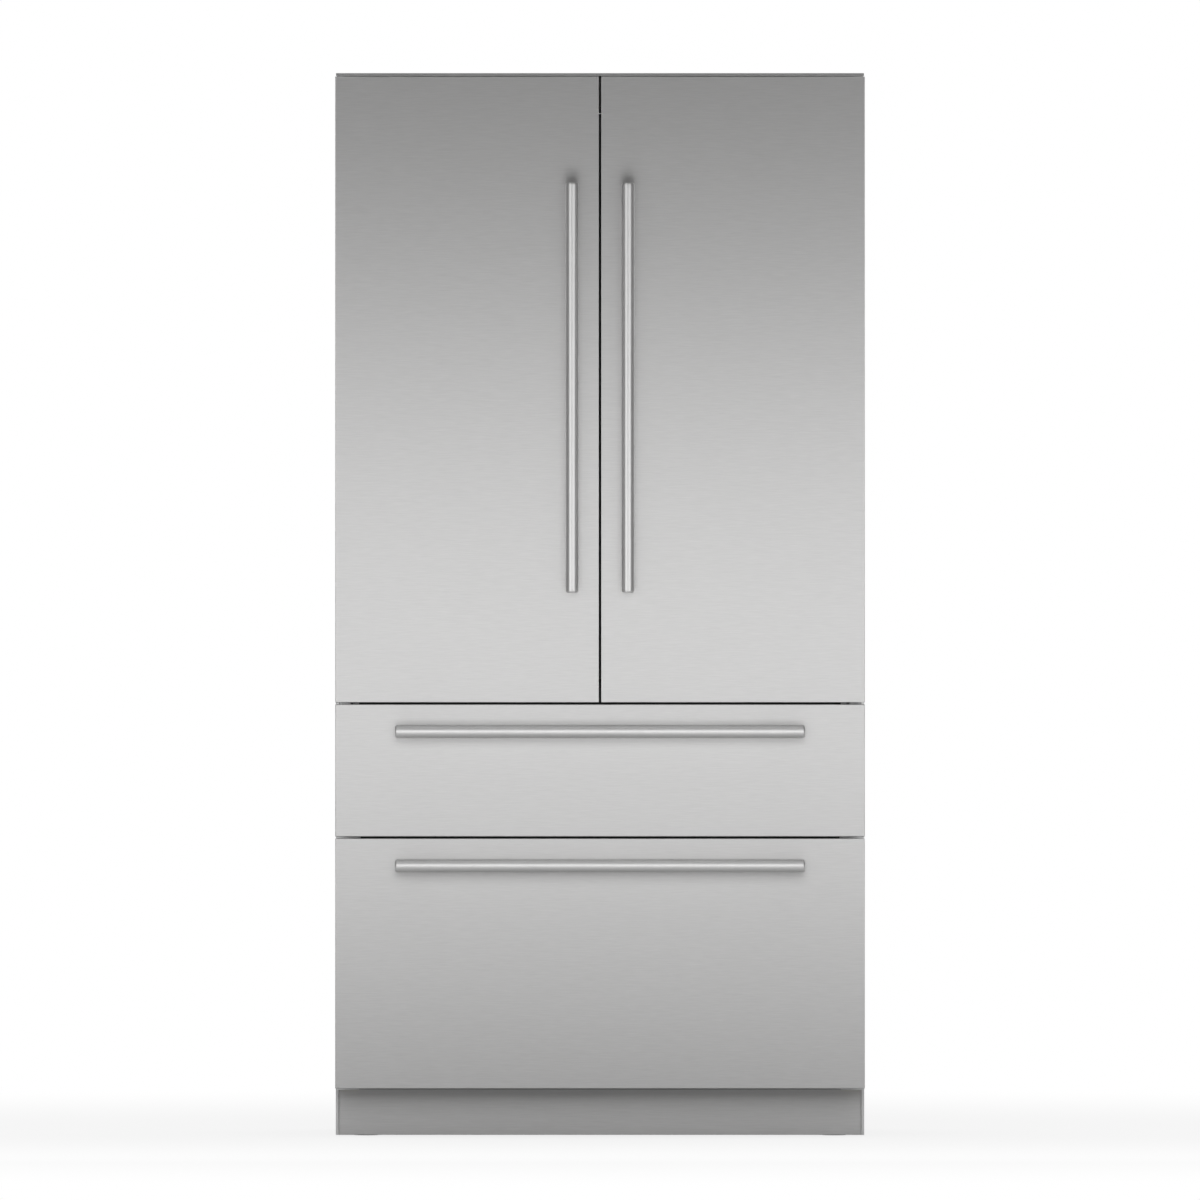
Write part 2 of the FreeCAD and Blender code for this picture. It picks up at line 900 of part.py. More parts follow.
def open_box(body, x, y, z, wall, corner):
    """A tub with rounded upright corners and an open top."""

    def upright_from(level):
        def chosen(edge):
            foot = min(vertex.Z for vertex in edge.Vertexes)
            return runs_along(edge, "Z") and abs(foot - level.value) < 1e-4

        return chosen

    pad(body, "XY", [rectangle(x, y)], z[0], z[1])
    pocket(body, "XY", [rectangle(inset(x, wall), inset(y, wall))], z[0] + wall, z[1])
    fillet(body, corner - wall, upright_from(z[0] + wall))
    fillet(body, corner, upright_from(z[0]))


# Doors


def door(name, side):
    """One french door: panel, foam core, inner liner, seal, handle and bins."""
    edge = d.reveal / 2
    outer = side * x_side
    free = side * edge
    steel_panel(f"{name}_door_panel", (outer, free), (z_door, z_door_top))

    core = new_body(f"{name}_door_core")
    inset = d.core_inset
    low = z_door + inset
    core_x = (side * (x_side - inset), side * (edge + inset))
    pad(core, "XZ", [rectangle(core_x, (low, z_core_top))], y_core, y_seal)
    fillet(core, d.core_edge, lambda item: runs_along(item, "Z"))
    bore = circle(side * x_hinge, y_hinge, d.hinge_pin_radius + d.running_clearance)
    deep = d.hinge_pin_depth + d.ear_gap
    pocket(core, "XY", [bore], low, low + deep)
    pocket(core, "XY", [bore], z_core_top - deep, z_core_top)
    node(f"{name}_door_core", core)

    spread = d.gasket_margin + d.gasket_width
    ends = sorted(
        (side * (x_inside + spread), side * (edge + d.gasket_free_inset)),
        key=lambda size: size.value,
    )
    seal(f"{name}_door_gasket", ends, (z_fresh - spread, z_fresh_top + spread))

    upright_x = side * (edge + d.handle_inset)
    handle(name, upright_x, z_door + d.door_height / 2 + d.handle_lift, True)
    door_inside(name, side)


def door_inside(name, side):
    edge = d.reveal / 2
    liner = new_body(f"{name}_door_liner")
    margin = d.gasket_margin - d.door_liner_gap
    free = edge + d.gasket_free_inset + d.gasket_width + d.door_liner_gap
    sheet_x = (side * (x_inside + margin), side * free)
    sheet_z = (z_fresh - margin, z_fresh_top + margin)
    y_sheet = y_seal + d.door_liner_sheet
    pad(liner, "XZ", [rectangle(sheet_x, sheet_z)], y_seal, y_sheet)

    wide = x_inside - d.dyke_clearance
    narrow = edge + d.dyke_free_inset
    low = z_fresh + d.dyke_end_clearance
    high = z_fresh_top - d.dyke_end_clearance
    dyke = d.dyke_width
    ring = rectangle((side * wide, side * narrow), (low, high))
    well = rectangle(
        (side * (wide - dyke), side * (narrow + dyke)), (low + dyke, high - dyke)
    )
    y_dyke = y_sheet + d.dyke_depth
    pad(liner, "XZ", [ring, well], y_sheet, y_dyke)
    fillet(liner, d.dyke_edge, lambda item: at_level(item, "Y", y_dyke))

    bins = []
    for level in range(BIN_LEVELS):
        z_bin = z_fresh + d.bin_first + level * d.bin_pitch
        for wall, inward in ((wide - dyke, -1), (narrow + dyke, 1)):
            lug_x = (side * wall, side * (wall + inward * d.lug_reach))
            lug = rectangle(lug_x, (z_bin - d.lug_height, z_bin))
            pad(liner, "XZ", [lug], y_sheet, y_sheet + d.lug_length)
        body = new_body(f"{name}_door_bin_{level + 1}")
        gap = d.bin_side_gap
        bin_x = (side * (wide - dyke - gap), side * (narrow + dyke + gap))
        bin_y = (y_sheet + gap, y_sheet + gap + d.bin_depth)
        open_box(body, bin_x, bin_y, (z_bin, z_bin + d.bin_height), d.bin_wall, d.bin_corner)
        bins.append(body)

    if side < 0:
        flipper(liner)
    node(f"{name}_door_liner", liner)
    node(f"{name}_door_bins", *bins)


def flipper(liner):
    """Folding mullion behind the middle gap, pinned between two ears of the left liner."""
    body = new_body("flipper_mullion")
    x_pivot = -(d.reveal / 2 + d.flipper_pivot_inset)
    thick = d.flipper_thickness
    front = y_cabinet + d.flipper_gap
    back = front + thick
    y_pivot = front + thick / 2
    low = z_fresh + d.flipper_end_gap
    high = z_fresh_top - d.flipper_end_gap
    heel = x_pivot - thick / 2
    pad(body, "XY", [rectangle((heel, d.flipper_reach), (front, back))], low, high)
    fillet(body, thick * FULL_ROUND, lambda e: runs_along(e, "Z") and at_level(e, "X", heel))
    pin = circle(x_pivot, y_pivot, d.flipper_pin_radius)
    pad(body, "XY", [pin], low - d.flipper_pin_length, low)
    pad(body, "XY", [pin], high, high + d.flipper_pin_length)
    node("flipper_mullion", body)

    bore = circle(x_pivot, y_pivot, d.flipper_pin_radius + d.running_clearance)
    y_sheet = y_seal + d.door_liner_sheet
    ear = rectangle((heel, x_pivot + thick / 2), (y_sheet, back))
    for start in (low - d.ear_gap - d.ear_thickness, high + d.ear_gap):
        pad(liner, "XY", [ear], start, start + d.ear_thickness)
        pocket(liner, "XY", [bore], start, start + d.ear_thickness)


# Drawers


def slide_section(side, member, z):
    """Section of one runner member: 0 fixed to the cabinet, 1 between, 2 on the drawer."""
    sheet = d.slide_sheet
    nest = sheet + d.slide_clearance
    inset = member * nest
    low = z + inset
    high = z + d.slide_height - inset
    web = (as_size(0), nest, d.slide_thickness)[member]
    lip = d.slide_thickness - d.slide_end_gap
    reach = (lip - d.slide_clearance, lip, 2 * nest + d.slide_clearance)[member]
    return channel(side * (x_inside - web), side * (x_inside - reach), low, high, sheet)


def slide_pair(label, member, z, start, end):
    bodies = []
    for side, name in ((-1, "left"), (1, "right")):
        body = new_body(f"{label}_{name}")
        pad(body, "XZ", [slide_section(side, member, z)], start, end)
        bodies.append(body)
    return bodies


def drawer(name, z, opening, slide_z):
    """One freezer drawer: panel, foam core, seal, handle, box and runner members."""
    steel_panel(f"{name}_drawer_panel", both(x_side), z)
    core = new_body(f"{name}_drawer_core")
    inset = d.core_inset
    outline = rectangle(both(x_side - inset), (z[0] + inset, z[1] - inset))
    pad(core, "XZ", [outline], y_core, y_seal)
    fillet(core, d.core_edge, lambda item: runs_along(item, "Z"))
    node(f"{name}_drawer_core", core)
    spread = d.gasket_margin + d.gasket_width
    seal(
        f"{name}_drawer_gasket",
        both(x_inside + spread),
        (opening[0] - spread, opening[1] + spread),
    )
    handle(name, 0, z[1] - d.handle_inset, False)

    y_slide = y_face + d.slide_front
    y_end = y_slide + d.slide_length
    node(
        f"{name}_slide_drawer_members",
        *slide_pair(f"{name}_drawer_member", 2, slide_z, y_seal, y_end),
    )
    node(
        f"{name}_slide_middle_members",
        *slide_pair(f"{name}_middle_member", 1, slide_z, y_slide, y_end),
    )
    return slide_pair(f"{name}_cabinet_member", 0, slide_z, y_slide, y_end)


def drawers():
    half = d.divider_height / 2
    upper_opening = (z_divider + half, z_freezer_top)
    lower_opening = (z_freezer, z_divider - half)
    upper_slide = upper_opening[0] + d.upper_slide_rise
    lower_slide = z_step + d.lower_slide_rise
    fixed = drawer("upper", (z_upper, z_upper_top), upper_opening, upper_slide)
    fixed += drawer("lower", (z_lower, z_lower_top), lower_opening, lower_slide)
    node("slide_cabinet_members", *fixed)

    x_box = x_inside - d.slide_thickness
    y_end = y_evaporator - d.drawer_back_gap
    gap = d.drawer_floor_gap
    upper = new_body("upper_drawer_box")
    upper_z = (upper_opening[0] + gap, upper_opening[1] - d.drawer_head_gap)
    open_box(upper, both(x_box), (y_seal, y_end), upper_z, d.drawer_wall, d.drawer_corner)
    node("upper_drawer_box", upper)

    lower = new_body("lower_drawer_box")
    floor = lower_opening[0] + gap
    head = lower_opening[1] - gap
    y_step = y_machine - d.machine_wall - d.step_gap
    wall = d.drawer_wall

    def stepped(inward, top):
        low = floor + inward
        step = z_step + d.step_gap + inward
        return polygon(
            (y_seal + inward, low),
            (y_step - inward, low),
            (y_step - inward, step),
            (y_end - inward, step),
            (y_end - inward, top),
            (y_seal + inward, top),
        )

    x_middle = (x_box - wall / 2).value
    pad(lower, "YZ", [stepped(0, head)], -x_box, x_box)
    pocket(lower, "YZ", [stepped(wall, head + wall)], wall - x_box, x_box - wall)
    fillet(
        lower,
        d.drawer_corner - wall,
        lambda edge: runs_along(edge, "Z") and abs(edge.CenterOfMass.x) < x_middle,
    )
    fillet(
        lower,
        d.drawer_corner,
        lambda edge: runs_along(edge, "Z") and abs(edge.CenterOfMass.x) > x_middle,
    )
    node("lower_drawer_box", lower)


# Fresh food compartment


def shelf_tracks():
    tracks = []
    low = z_track
    high = z_fresh_top - d.track_head_gap
    front = y_inside - d.track_depth
    for number, x in enumerate((-x_track, -d.track_inner, d.track_inner, x_track), 1):
        body = new_body(f"shelf_track_{number}")
        half = d.track_width / 2
        section = channel(
            front, y_inside, x - half, x + half, d.track_sheet, swap=True
        )
        pad(body, "XY", [section], low, high)
        slot_half = d.track_slot_width / 2
        start = low + d.track_slot_pitch / 2
        slot = rectangle((x - slot_half, x + slot_half), (start, start + d.track_slot_height))
        cut = pocket(body, "XZ", [slot], front, front + d.track_sheet)
        count = count_between(high - low - d.track_slot_pitch, d.track_slot_pitch)
        pattern_along(body, cut, "Z", d.track_slot_pitch * (count - 1), count)
        tracks.append(body)
    node("shelf_tracks", *tracks)


def shelf_half(name, side, level, glasses, frames):
    """One cantilever half shelf: a glass pane in a frame with two tapered arms."""
    z_glass = z_cover_top + d.shelf_first + level * d.shelf_pitch
    z_surface = z_glass + d.glass_thickness
    wide = side * (x_inside - d.shelf_side_gap)
    narrow = side * d.shelf_middle_gap
    front = y_face + d.shelf_front
    back = y_inside - d.shelf_back_gap
    trim = d.shelf_trim_depth

    glass = new_body(f"{name}_glass")
    pane = rectangle((wide, narrow), (front + trim, back - trim))
    pad(glass, "XY", [pane], z_glass, z_surface)
    glasses.append(glass)

    frame = new_body(f"{name}_frame")
    bar = rectangle((wide, narrow), (front, front + trim))
    pad(frame, "XY", [bar], z_glass - d.shelf_trim_drop, z_surface)
    fillet(
        frame,
        d.shelf_trim_edge,
        lambda edge: runs_along(edge, "X") and at_level(edge, "Y", front),
    )
    track = y_inside - d.track_depth
    arm = polygon(
        (front + trim / 2, z_glass - d.arm_front_height),
        (back, z_glass - d.arm_back_height),
        (track, z_glass - d.arm_back_height),
        (track, z_glass),
        (front + trim / 2, z_glass),
    )
    half = d.arm_sheet / 2
    for x in (side * x_track, side * d.track_inner):
        pad(frame, "YZ", [arm], x - half, x + half)
    rear = rectangle((wide, narrow), (back - trim, back))
    pad(frame, "XY", [rear], z_glass - d.arm_front_height, z_surface)
    frames.append(frame)


def shelves():
    glasses = []
    frames = []
    for level in range(SHELF_LEVELS):
        for side, name in ((-1, "left"), (1, "right")):
            shelf_half(f"{name}_shelf_{level + 1}", side, level, glasses, frames)
    glasses.append(crisper_cover())
    node("shelf_glass", *glasses)
    node("shelf_frames", *frames)


def crisper_cover():
    """Frame across the compartment that covers both crispers and holds a glass pane."""
    low = z_cover
    high = z_cover_top
    front = y_face + d.shelf_front
    border = d.cover_border
    body = new_body("crisper_cover")
    pad(body, "XY", [rectangle(both(x_inside), (front, y_inside))], low, high)
    inside = x_inside - border
    pane_y = (front + border, y_inside - border)
    pocket(body, "XY", [rectangle(both(inside), pane_y)], high - d.glass_thickness, high)
    ledge = d.cover_ledge
    window = rectangle(both(inside - ledge), (pane_y[0] + ledge, pane_y[1] - ledge))
    pocket(body, "XY", [window], low, high - d.glass_thickness)
    fillet(
        body,
        d.liner_corner,
        lambda edge: runs_along(edge, "Z") and at_level(edge, "Y", y_inside),
    )
    node("crisper_cover", body)
    glass = new_body("crisper_glass")
    pad(glass, "XY", [rectangle(both(inside), pane_y)], high - d.glass_thickness, high)
    return glass


def crispers():
    """Two produce tubs with a finger notch in the front wall."""
    tubs = []
    wide = x_inside - d.crisper_side_gap
    narrow = d.shelf_middle_gap
    front = y_face + d.shelf_front
    back = y_inside - d.crisper_back_gap
    top = z_fresh + d.crisper_height
    wall = d.crisper_wall
    for side, name in ((-1, "left"), (1, "right")):
        body = new_body(f"{name}_crisper")
        x = (side * wide, side * narrow)
        open_box(body, x, (front, back), (z_fresh, top), wall, d.crisper_corner)
        middle = side * (wide + narrow) / 2
        half = d.crisper_grip_width / 2
        grip = rectangle((middle - half, middle + half), (top - d.crisper_grip_drop, top))
        pocket(body, "XZ", [grip], front, front + wall)
        tubs.append(body)
    node("crispers", *tubs)


def air_duct_cover():
    """Louvred column on the back wall that spreads the cold air."""
    body = new_body("air_duct_cover")
    low = z_track
    high = z_fresh_top - d.track_head_gap
    front = y_inside - d.duct_depth
    half = d.duct_width / 2
    pad(body, "XZ", [rectangle(both(half), (low, high))], front, y_inside)
    fillet(body, d.duct_edge, lambda edge: at_level(edge, "Y", front))
    sheet = d.duct_sheet
    hollow = rectangle(both(half - d.duct_edge), (low + d.duct_edge, high - d.duct_edge))
    pocket(body, "XZ", [hollow], front + sheet, y_inside)
    start = low + d.louvre_pitch
    louvre = rectangle(both(d.louvre_width / 2), (start, start + d.louvre_height))
    cut = pocket(body, "XZ", [louvre], front, front + sheet)
    count = count_between(high - low - 2 * d.louvre_pitch, d.louvre_pitch)
    pattern_along(body, cut, "Z", d.louvre_pitch * (count - 1), count)
    node("air_duct_cover", body)


def ceiling_fittings():
    light = new_body("ceiling_light")
    half = d.light_width / 2
    lens = rectangle(both(half), (y_face + d.light_front, y_face + d.light_back))
    low = z_fresh_top - d.light_drop
    pad(light, "XY", [lens], low, z_fresh_top)
    fillet(light, d.light_edge, lambda edge: at_level(edge, "Z", low))
    node("ceiling_light", light)

    console = new_body("control_panel")
    half = d.console_width / 2
    front = y_face + d.console_front
    back = y_face + d.console_back
    section = polygon(
        (front, z_fresh_top),
        (front + d.console_slope, z_fresh_top - d.console_drop),
        (back, z_fresh_top - d.console_drop),
        (back, z_fresh_top),
    )
    pad(console, "YZ", [section], -half, half)
    node("control_panel", console)


# Cooling system


def finned_coil(label, x, y, z, tube_rows, tube_columns):
    """Fin pack between two end plates, with the tubes' ends standing out of the plates."""
    body = new_body(label)
    plate = d.coil_plate
    start = x[0] + d.tube_end
    end = x[1] - d.tube_end
    trim = d.fin_inset
    pad(body, "YZ", [rectangle(y, z)], start, start + plate)
    fins = rectangle((y[0] + trim, y[1] - trim), (z[0] + trim, z[1] - trim))
    pad(body, "YZ", [fins], start, end)
    pad(body, "YZ", [rectangle(y, z)], end - plate, end)

    step_y = (y[1] - y[0]) / (tube_rows + 1)
    step_z = (z[1] - z[0]) / (tube_columns + 1)
    tubes = [
        circle(y[0] + (row + 1) * step_y, z[0] + (column + 1) * step_z, d.tube_radius)
        for row in range(tube_rows)
        for column in range(tube_columns)
    ]
    pad(body, "YZ", tubes, x[0], x[1])

    first = start + plate + d.fin_sheet
    gap = (first, first + d.fin_pitch - d.fin_sheet)
    count = count_between(end - first - plate - d.fin_pitch, d.fin_pitch)
    for sides in ((y[0], y[0] + d.fin_depth), (y[1] - d.fin_depth, y[1])):
        cut = pocket(body, "XY", [rectangle(gap, sides)], z[0], z[1])
        pattern_along(body, cut, "X", d.fin_pitch * (count - 1), count)
    node(label, body)


def fan(label, radius):
    """Bladed rotor, drawn round its own Z axis with the hub from Z = 0 up."""
    body = new_body(label)
    hub = d.fan_hub_radius
    length = d.fan_hub_length
    pad(body, "XY", [circle(0, 0, hub)], 0, length)

    def blade_section(at, flare):
        sketch = sketch_on(body, "YZ", at)
        chord = length * (flare * BLADE_HEIGHT_SHARE / math.sin(FAN_PITCH))
        along = (chord * math.cos(FAN_PITCH) / 2, chord * math.sin(FAN_PITCH) / 2)
        thick = d.fan_blade_sheet / 2
        across = (-thick * math.sin(FAN_PITCH), thick * math.cos(FAN_PITCH))
        corners = ((-1, -1), (1, -1), (1, 1), (-1, 1))
        polygon(
            *[
                (a * along[0] + c * across[0], length / 2 + a * along[1] + c * across[1])
                for a, c in corners
            ]
        )(sketch)
        return sketch

    blade = body.newObject("PartDesign::AdditiveLoft", "Blade")
    blade.Profile = blade_section(hub * BLADE_ROOT_SHARE, 1)
    blade.Sections = [blade_section(radius, BLADE_FLARE)]
    blade.Ruled = True
    ring = body.newObject("PartDesign::PolarPattern", "Blades")
    ring.Originals = [blade]
    ring.Axis = (origin_feature(body, "Z_Axis"), [""])
    ring.Angle = 360
    ring.Occurrences = FAN_BLADES
    body.Tip = ring
    bore = circle(0, 0, d.fan_shaft_radius + d.running_clearance)
    pocket(body, "XY", [bore], 0, length)
    return body


def evaporator():
    """Cover, coil and fan on the freezer's back wall."""
    low = z_step + d.evaporator_floor_gap
    high = z_freezer_top - d.evaporator_head_gap
    front = y_evaporator
    half = x_evaporator
    plate = d.cover_plate
    z_fan = high - d.evaporator_fan_drop

    cover = new_body("evaporator_cover")
    pad(cover, "XZ", [rectangle(both(half), (low, high))], front, y_inside)
    fillet(cover, d.duct_edge, lambda edge: at_level(edge, "Y", front))
    edge = d.duct_edge
    hollow = rectangle(both(half - edge), (low + edge, high - edge))
    pocket(cover, "XZ", [hollow], front + plate, y_inside)
    radius = d.evaporator_fan_radius
    slot = d.grille_slot
    grille = [
        rectangle((side * (d.motor_radius + slot), side * radius), (z_slot, z_slot + slot))
        for side in (-1, 1)
        for z_slot in spread_out(z_fan - slot / 2, d.grille_pitch, GRILLE_ROWS)
    ]
    pocket(cover, "XZ", grille, front, front + plate)
    width = d.intake_width
    z_intake = low + d.intake_rise
    intake = [
        rectangle((x_slot, x_slot + width), (z_intake, z_intake + slot))
        for x_slot in spread_out(-width / 2, d.intake_pitch, INTAKE_SLOTS)
    ]
    pocket(cover, "XZ", intake, front, front + plate)
    motor = circle(0, z_fan, d.motor_radius)
    hub_start = front + plate + 2 * d.fan_running_gap
    pad(cover, "XZ", [motor], front + plate, front + plate + d.fan_running_gap)
    shaft = circle(0, z_fan, d.fan_shaft_radius)
    shaft_end = hub_start + d.fan_hub_length + d.fan_running_gap
    pad(cover, "XZ", [shaft], front + plate, shaft_end)
    node("evaporator_cover", cover)

    blades = fan("evaporator_fan", radius)
    place(blades, 0, hub_start, z_fan, FreeCAD.Rotation(FreeCAD.Vector(1, 0, 0), -90))
    node("evaporator_fan", blades)

    finned_coil(
        "evaporator_coil",
        both(half - d.coil_side_gap),
        (front + d.coil_setback, y_inside),
        (low + d.coil_foot_gap, z_fan - radius - d.coil_fan_gap),
        2,
        3,
    )


def compressor():
    """Hermetic compressor: turned shell with a weld seam on a plate with four legs."""
    body = new_body("compressor")
    foot = d.compressor_foot
    radius = d.compressor_radius
    half_x = d.compressor_plate_width / 2
    half_y = d.compressor_plate_depth / 2
    plate_top = foot + d.compressor_plate
    top = plate_top + d.compressor_height
    middle = plate_top + d.compressor_height / 2
    seam = d.compressor_seam
    section = polygon(
        (0, plate_top),
        (radius, plate_top),
        (radius, middle - seam),
        (radius + seam, middle - seam),
        (radius + seam, middle + seam),
        (radius, middle + seam),
        (radius, top - d.compressor_dome),
        (d.compressor_crown_radius, top),
        (0, top),
    )
    revolve(body, section)
    pad(body, "XY", [rectangle(both(half_x), both(half_y))], foot, plate_top + seam)
    legs = [
        circle(x * (half_x - foot), y * (half_y - foot), d.compressor_foot_radius)
        for x in (-1, 1)
        for y in (-1, 1)
    ]
    pad(body, "XY", legs, 0, foot)
    box_x = (0, radius + d.terminal_box_depth)
    box = rectangle(box_x, both(d.terminal_box_width / 2))
    box_top = top - d.compressor_dome
    pad(body, "XY", [box], box_top - d.terminal_box_height, box_top)
    place(body, x_side - d.compressor_inset, (y_machine + y_back) / 2, z_pan)
    node("compressor", body)


def condenser():
    """Finned condenser with its fan and shroud in the machine room."""
    margin = d.condenser_margin
    left = d.condenser_inset - x_side
    right = left + d.condenser_width
    finned_coil(
        "condenser",
        (left, right),
        (y_machine + margin, y_back - margin),
        (z_pan, z_pan + d.condenser_height),
        3,
        3,
    )
    plate = d.shroud_sheet
    start = right + d.shroud_gap
    radius = d.condenser_fan_radius
    y_fan = (y_machine + y_back) / 2
    z_fan = z_pan + d.shroud_height / 2
    shroud = new_body("condenser_fan_shroud")
    inset = d.shroud_margin
    face = rectangle(
        (y_machine + inset, y_back - d.sheet_metal - d.base_sheet - inset),
        (z_pan, z_pan + d.shroud_height),
    )
    pad(shroud, "YZ", [face], start, start + plate)
    mouth = radius + d.fan_tip_gap
    pocket(shroud, "YZ", [circle(y_fan, z_fan, mouth)], start, start + plate)
    reach = mouth + plate
    strut_half = d.motor_radius / 2
    strut = rectangle((y_fan - reach, y_fan + reach), (z_fan - strut_half, z_fan + strut_half))
    pad(shroud, "YZ", [strut], start, start + plate)
    motor = circle(y_fan, z_fan, d.motor_radius)
    pad(shroud, "YZ", [motor], start, start + d.motor_length)
    hub_start = start - d.fan_running_gap - d.fan_hub_length
    shaft = circle(y_fan, z_fan, d.fan_shaft_radius)
    pad(shroud, "YZ", [shaft], hub_start - d.fan_running_gap, start)
    node("condenser_fan_shroud", shroud)

    blades = fan("condenser_fan", radius)
    turn = FreeCAD.Rotation(FreeCAD.Vector(0, 1, 0), 90)
    place(blades, hub_start, y_fan, z_fan, turn)
    node("condenser_fan", blades)


def build():
    cabinet_panels()
    back_panel()
    base_frame()
    levelling_feet()
    insulation()
    liners()
    front_rails()
    top_trim()
    toe_kick()
    hinges()
    door("left", -1)
    door("right", 1)
    drawers()
    shelf_tracks()
    shelves()
    crispers()
    air_duct_cover()
    ceiling_fittings()
    evaporator()
    compressor()
    condenser()


def write_parts():
    """Writes every sub-part after all features and shapes have been checked."""
    doc.recompute()
    faults = [
        f"{item.Label}: {item.State}"
        for item in doc.Objects
        if "Invalid" in item.State or "Error" in item.State
    ]
    for item in NODES:
        if item.Shape.isNull() or not item.Shape.isValid() or not item.Shape.Solids:
            faults.append(f"{item.Label}: shape not valid")
    if faults:
        raise RuntimeError("; ".join(faults))
    os.makedirs("parts", exist_ok=True)
    for item in NODES:
        item.Shape.exportStep(f"parts/{item.Label}.step")
    print(len(NODES), "sub-parts,", sum(len(item.Shape.Solids) for item in NODES), "solids")


build()
write_parts()
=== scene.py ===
# %% [markdown]
# # A built-in french door refrigerator
# The frame comes from the CAD model: every solid is already in place, in metres, with the front
# facing -Y and the floor at z = 0. This lesson gives each solid its finish, models the small
# pieces that the solids leave out, and sets up a plain studio round them.

import json
import math

import bmesh
import bpy
from mathutils import Matrix, Vector


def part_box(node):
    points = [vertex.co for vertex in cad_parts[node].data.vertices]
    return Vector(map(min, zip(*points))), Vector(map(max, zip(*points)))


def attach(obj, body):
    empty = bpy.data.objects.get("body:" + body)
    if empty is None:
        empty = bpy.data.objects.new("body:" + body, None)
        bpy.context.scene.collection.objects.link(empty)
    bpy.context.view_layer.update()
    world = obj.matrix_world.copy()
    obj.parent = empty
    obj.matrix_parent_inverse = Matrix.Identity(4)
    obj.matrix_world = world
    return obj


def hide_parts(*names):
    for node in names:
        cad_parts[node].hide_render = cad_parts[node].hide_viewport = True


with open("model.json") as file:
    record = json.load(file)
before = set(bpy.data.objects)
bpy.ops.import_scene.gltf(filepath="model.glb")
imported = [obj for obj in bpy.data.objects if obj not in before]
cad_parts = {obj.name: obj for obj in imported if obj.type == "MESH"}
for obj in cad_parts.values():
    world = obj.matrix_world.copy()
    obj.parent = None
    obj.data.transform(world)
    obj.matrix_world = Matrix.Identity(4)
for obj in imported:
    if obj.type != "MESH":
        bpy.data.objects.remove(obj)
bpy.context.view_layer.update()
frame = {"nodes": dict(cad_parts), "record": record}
nodes = frame["nodes"]
record = frame["record"]
slot_of = {row["node"]: row["material_slot"] for row in record["subparts"]}
body_of = {node: body for body, held in record["behaviour"]["bodies"].items() for node in held}

# %% [markdown]
# ## Shader maths in Python
# A finish is a small network of nodes. Wiring them by hand takes a line per link, so a socket is
# wrapped in a class that understands +, - and *, and adds the Math nodes itself. One more method
# makes any other node from its type, its settings and its sockets.


# %% Wires
class Wire:
    """A shader socket that can stand in a Python expression."""

    def __init__(self, graph, socket):
        self.graph = graph
        self.socket = socket

    def maths(self, operation, first, second):
        return self.graph.node("ShaderNodeMath", {"operation": operation}, {0: first, 1: second})

    def __add__(self, other):
        return self.maths("ADD", self, other)

    def __radd__(self, other):
        return self.maths("ADD", other, self)

    def __sub__(self, other):
        return self.maths("SUBTRACT", self, other)

    def __rsub__(self, other):
        return self.maths("SUBTRACT", other, self)

    def __mul__(self, other):
        return self.maths("MULTIPLY", self, other)

    def __rmul__(self, other):
        return self.maths("MULTIPLY", other, self)


print("a socket can now be added, subtracted and multiplied")

# %% Graphs
MIX_FACTOR, MIX_FIRST, MIX_SECOND = 0, 6, 7
MIX_COLOUR = 2


class Graph:
    """A node tree that hands out wires."""

    def __init__(self, tree):
        self.tree = tree

    def plug(self, socket, value):
        if isinstance(value, Wire):
            self.tree.links.new(value.socket, socket)
        else:
            socket.default_value = value

    def node(self, kind, settings=None, sockets=None, out=0):
        made = self.tree.nodes.new(kind)
        for name, value in (settings or {}).items():
            setattr(made, name, value)
        for name, value in (sockets or {}).items():
            self.plug(made.inputs[name], value)
        return Wire(self, made.outputs[out])

    def mix(self, factor, first, second):
        """One colour fading into another."""
        sockets = {MIX_FACTOR: factor, MIX_FIRST: first, MIX_SECOND: second}
        return self.node("ShaderNodeMix", {"data_type": "RGBA"}, sockets, MIX_COLOUR)

    def ramp(self, value, low, high):
        """0 at low, 1 at high, and a smooth climb between them."""
        settings = {"interpolation_type": "SMOOTHSTEP"}
        sockets = {"Value": value, "From Min": low, "From Max": high}
        return self.node("ShaderNodeMapRange", settings, sockets)

    def place(self, stretch=(1, 1, 1)):
        """Object coordinates in metres, stretched by a factor along each axis."""
        where = self.node("ShaderNodeTexCoord", out="Object")
        return self.node("ShaderNodeMapping", {}, {"Vector": where, "Scale": stretch})

    def along(self, axis):
        """How far along one axis a point lies."""
        return self.node("ShaderNodeSeparateXYZ", {}, {"Vector": self.place()}, axis)

    def noise(self, scale, detail, stretch=(1, 1, 1)):
        """Cloudy randomness between 0 and 1."""
        sockets = {"Vector": self.place(stretch), "Scale": scale, "Detail": detail}
        return self.node("ShaderNodeTexNoise", {}, sockets)


print("a graph makes", [name for name in vars(Graph) if not name.startswith("_")])


# %% Finishes
class Finish(Graph):
    """A material with a Principled shader, whose constant sockets are set at once."""

    def __init__(self, name, **constants):
        self.material = bpy.data.materials.new(name)
        self.material.use_nodes = True
        super().__init__(self.material.node_tree)
        self.shader = self.tree.nodes["Principled BSDF"]
        for socket, value in constants.items():
            self.set(socket.replace("_", " "), value)

    def set(self, socket, value):
        self.plug(self.shader.inputs[socket], value)

    def tint(self, factor, first, second):
        """A base colour that fades from one to another."""
        self.set("Base Color", self.mix(factor, first, second))

    def waver(self, factor, roughness, spread):
        """A roughness that strays to either side of its middle."""
        self.set("Roughness", (roughness - spread) + factor * (2 * spread))

    def emboss(self, height, depth, strength):
        """A fine relief, too fine to model."""
        sockets = {"Height": height, "Distance": depth, "Strength": strength}
        self.set("Normal", self.node("ShaderNodeBump", {}, sockets))


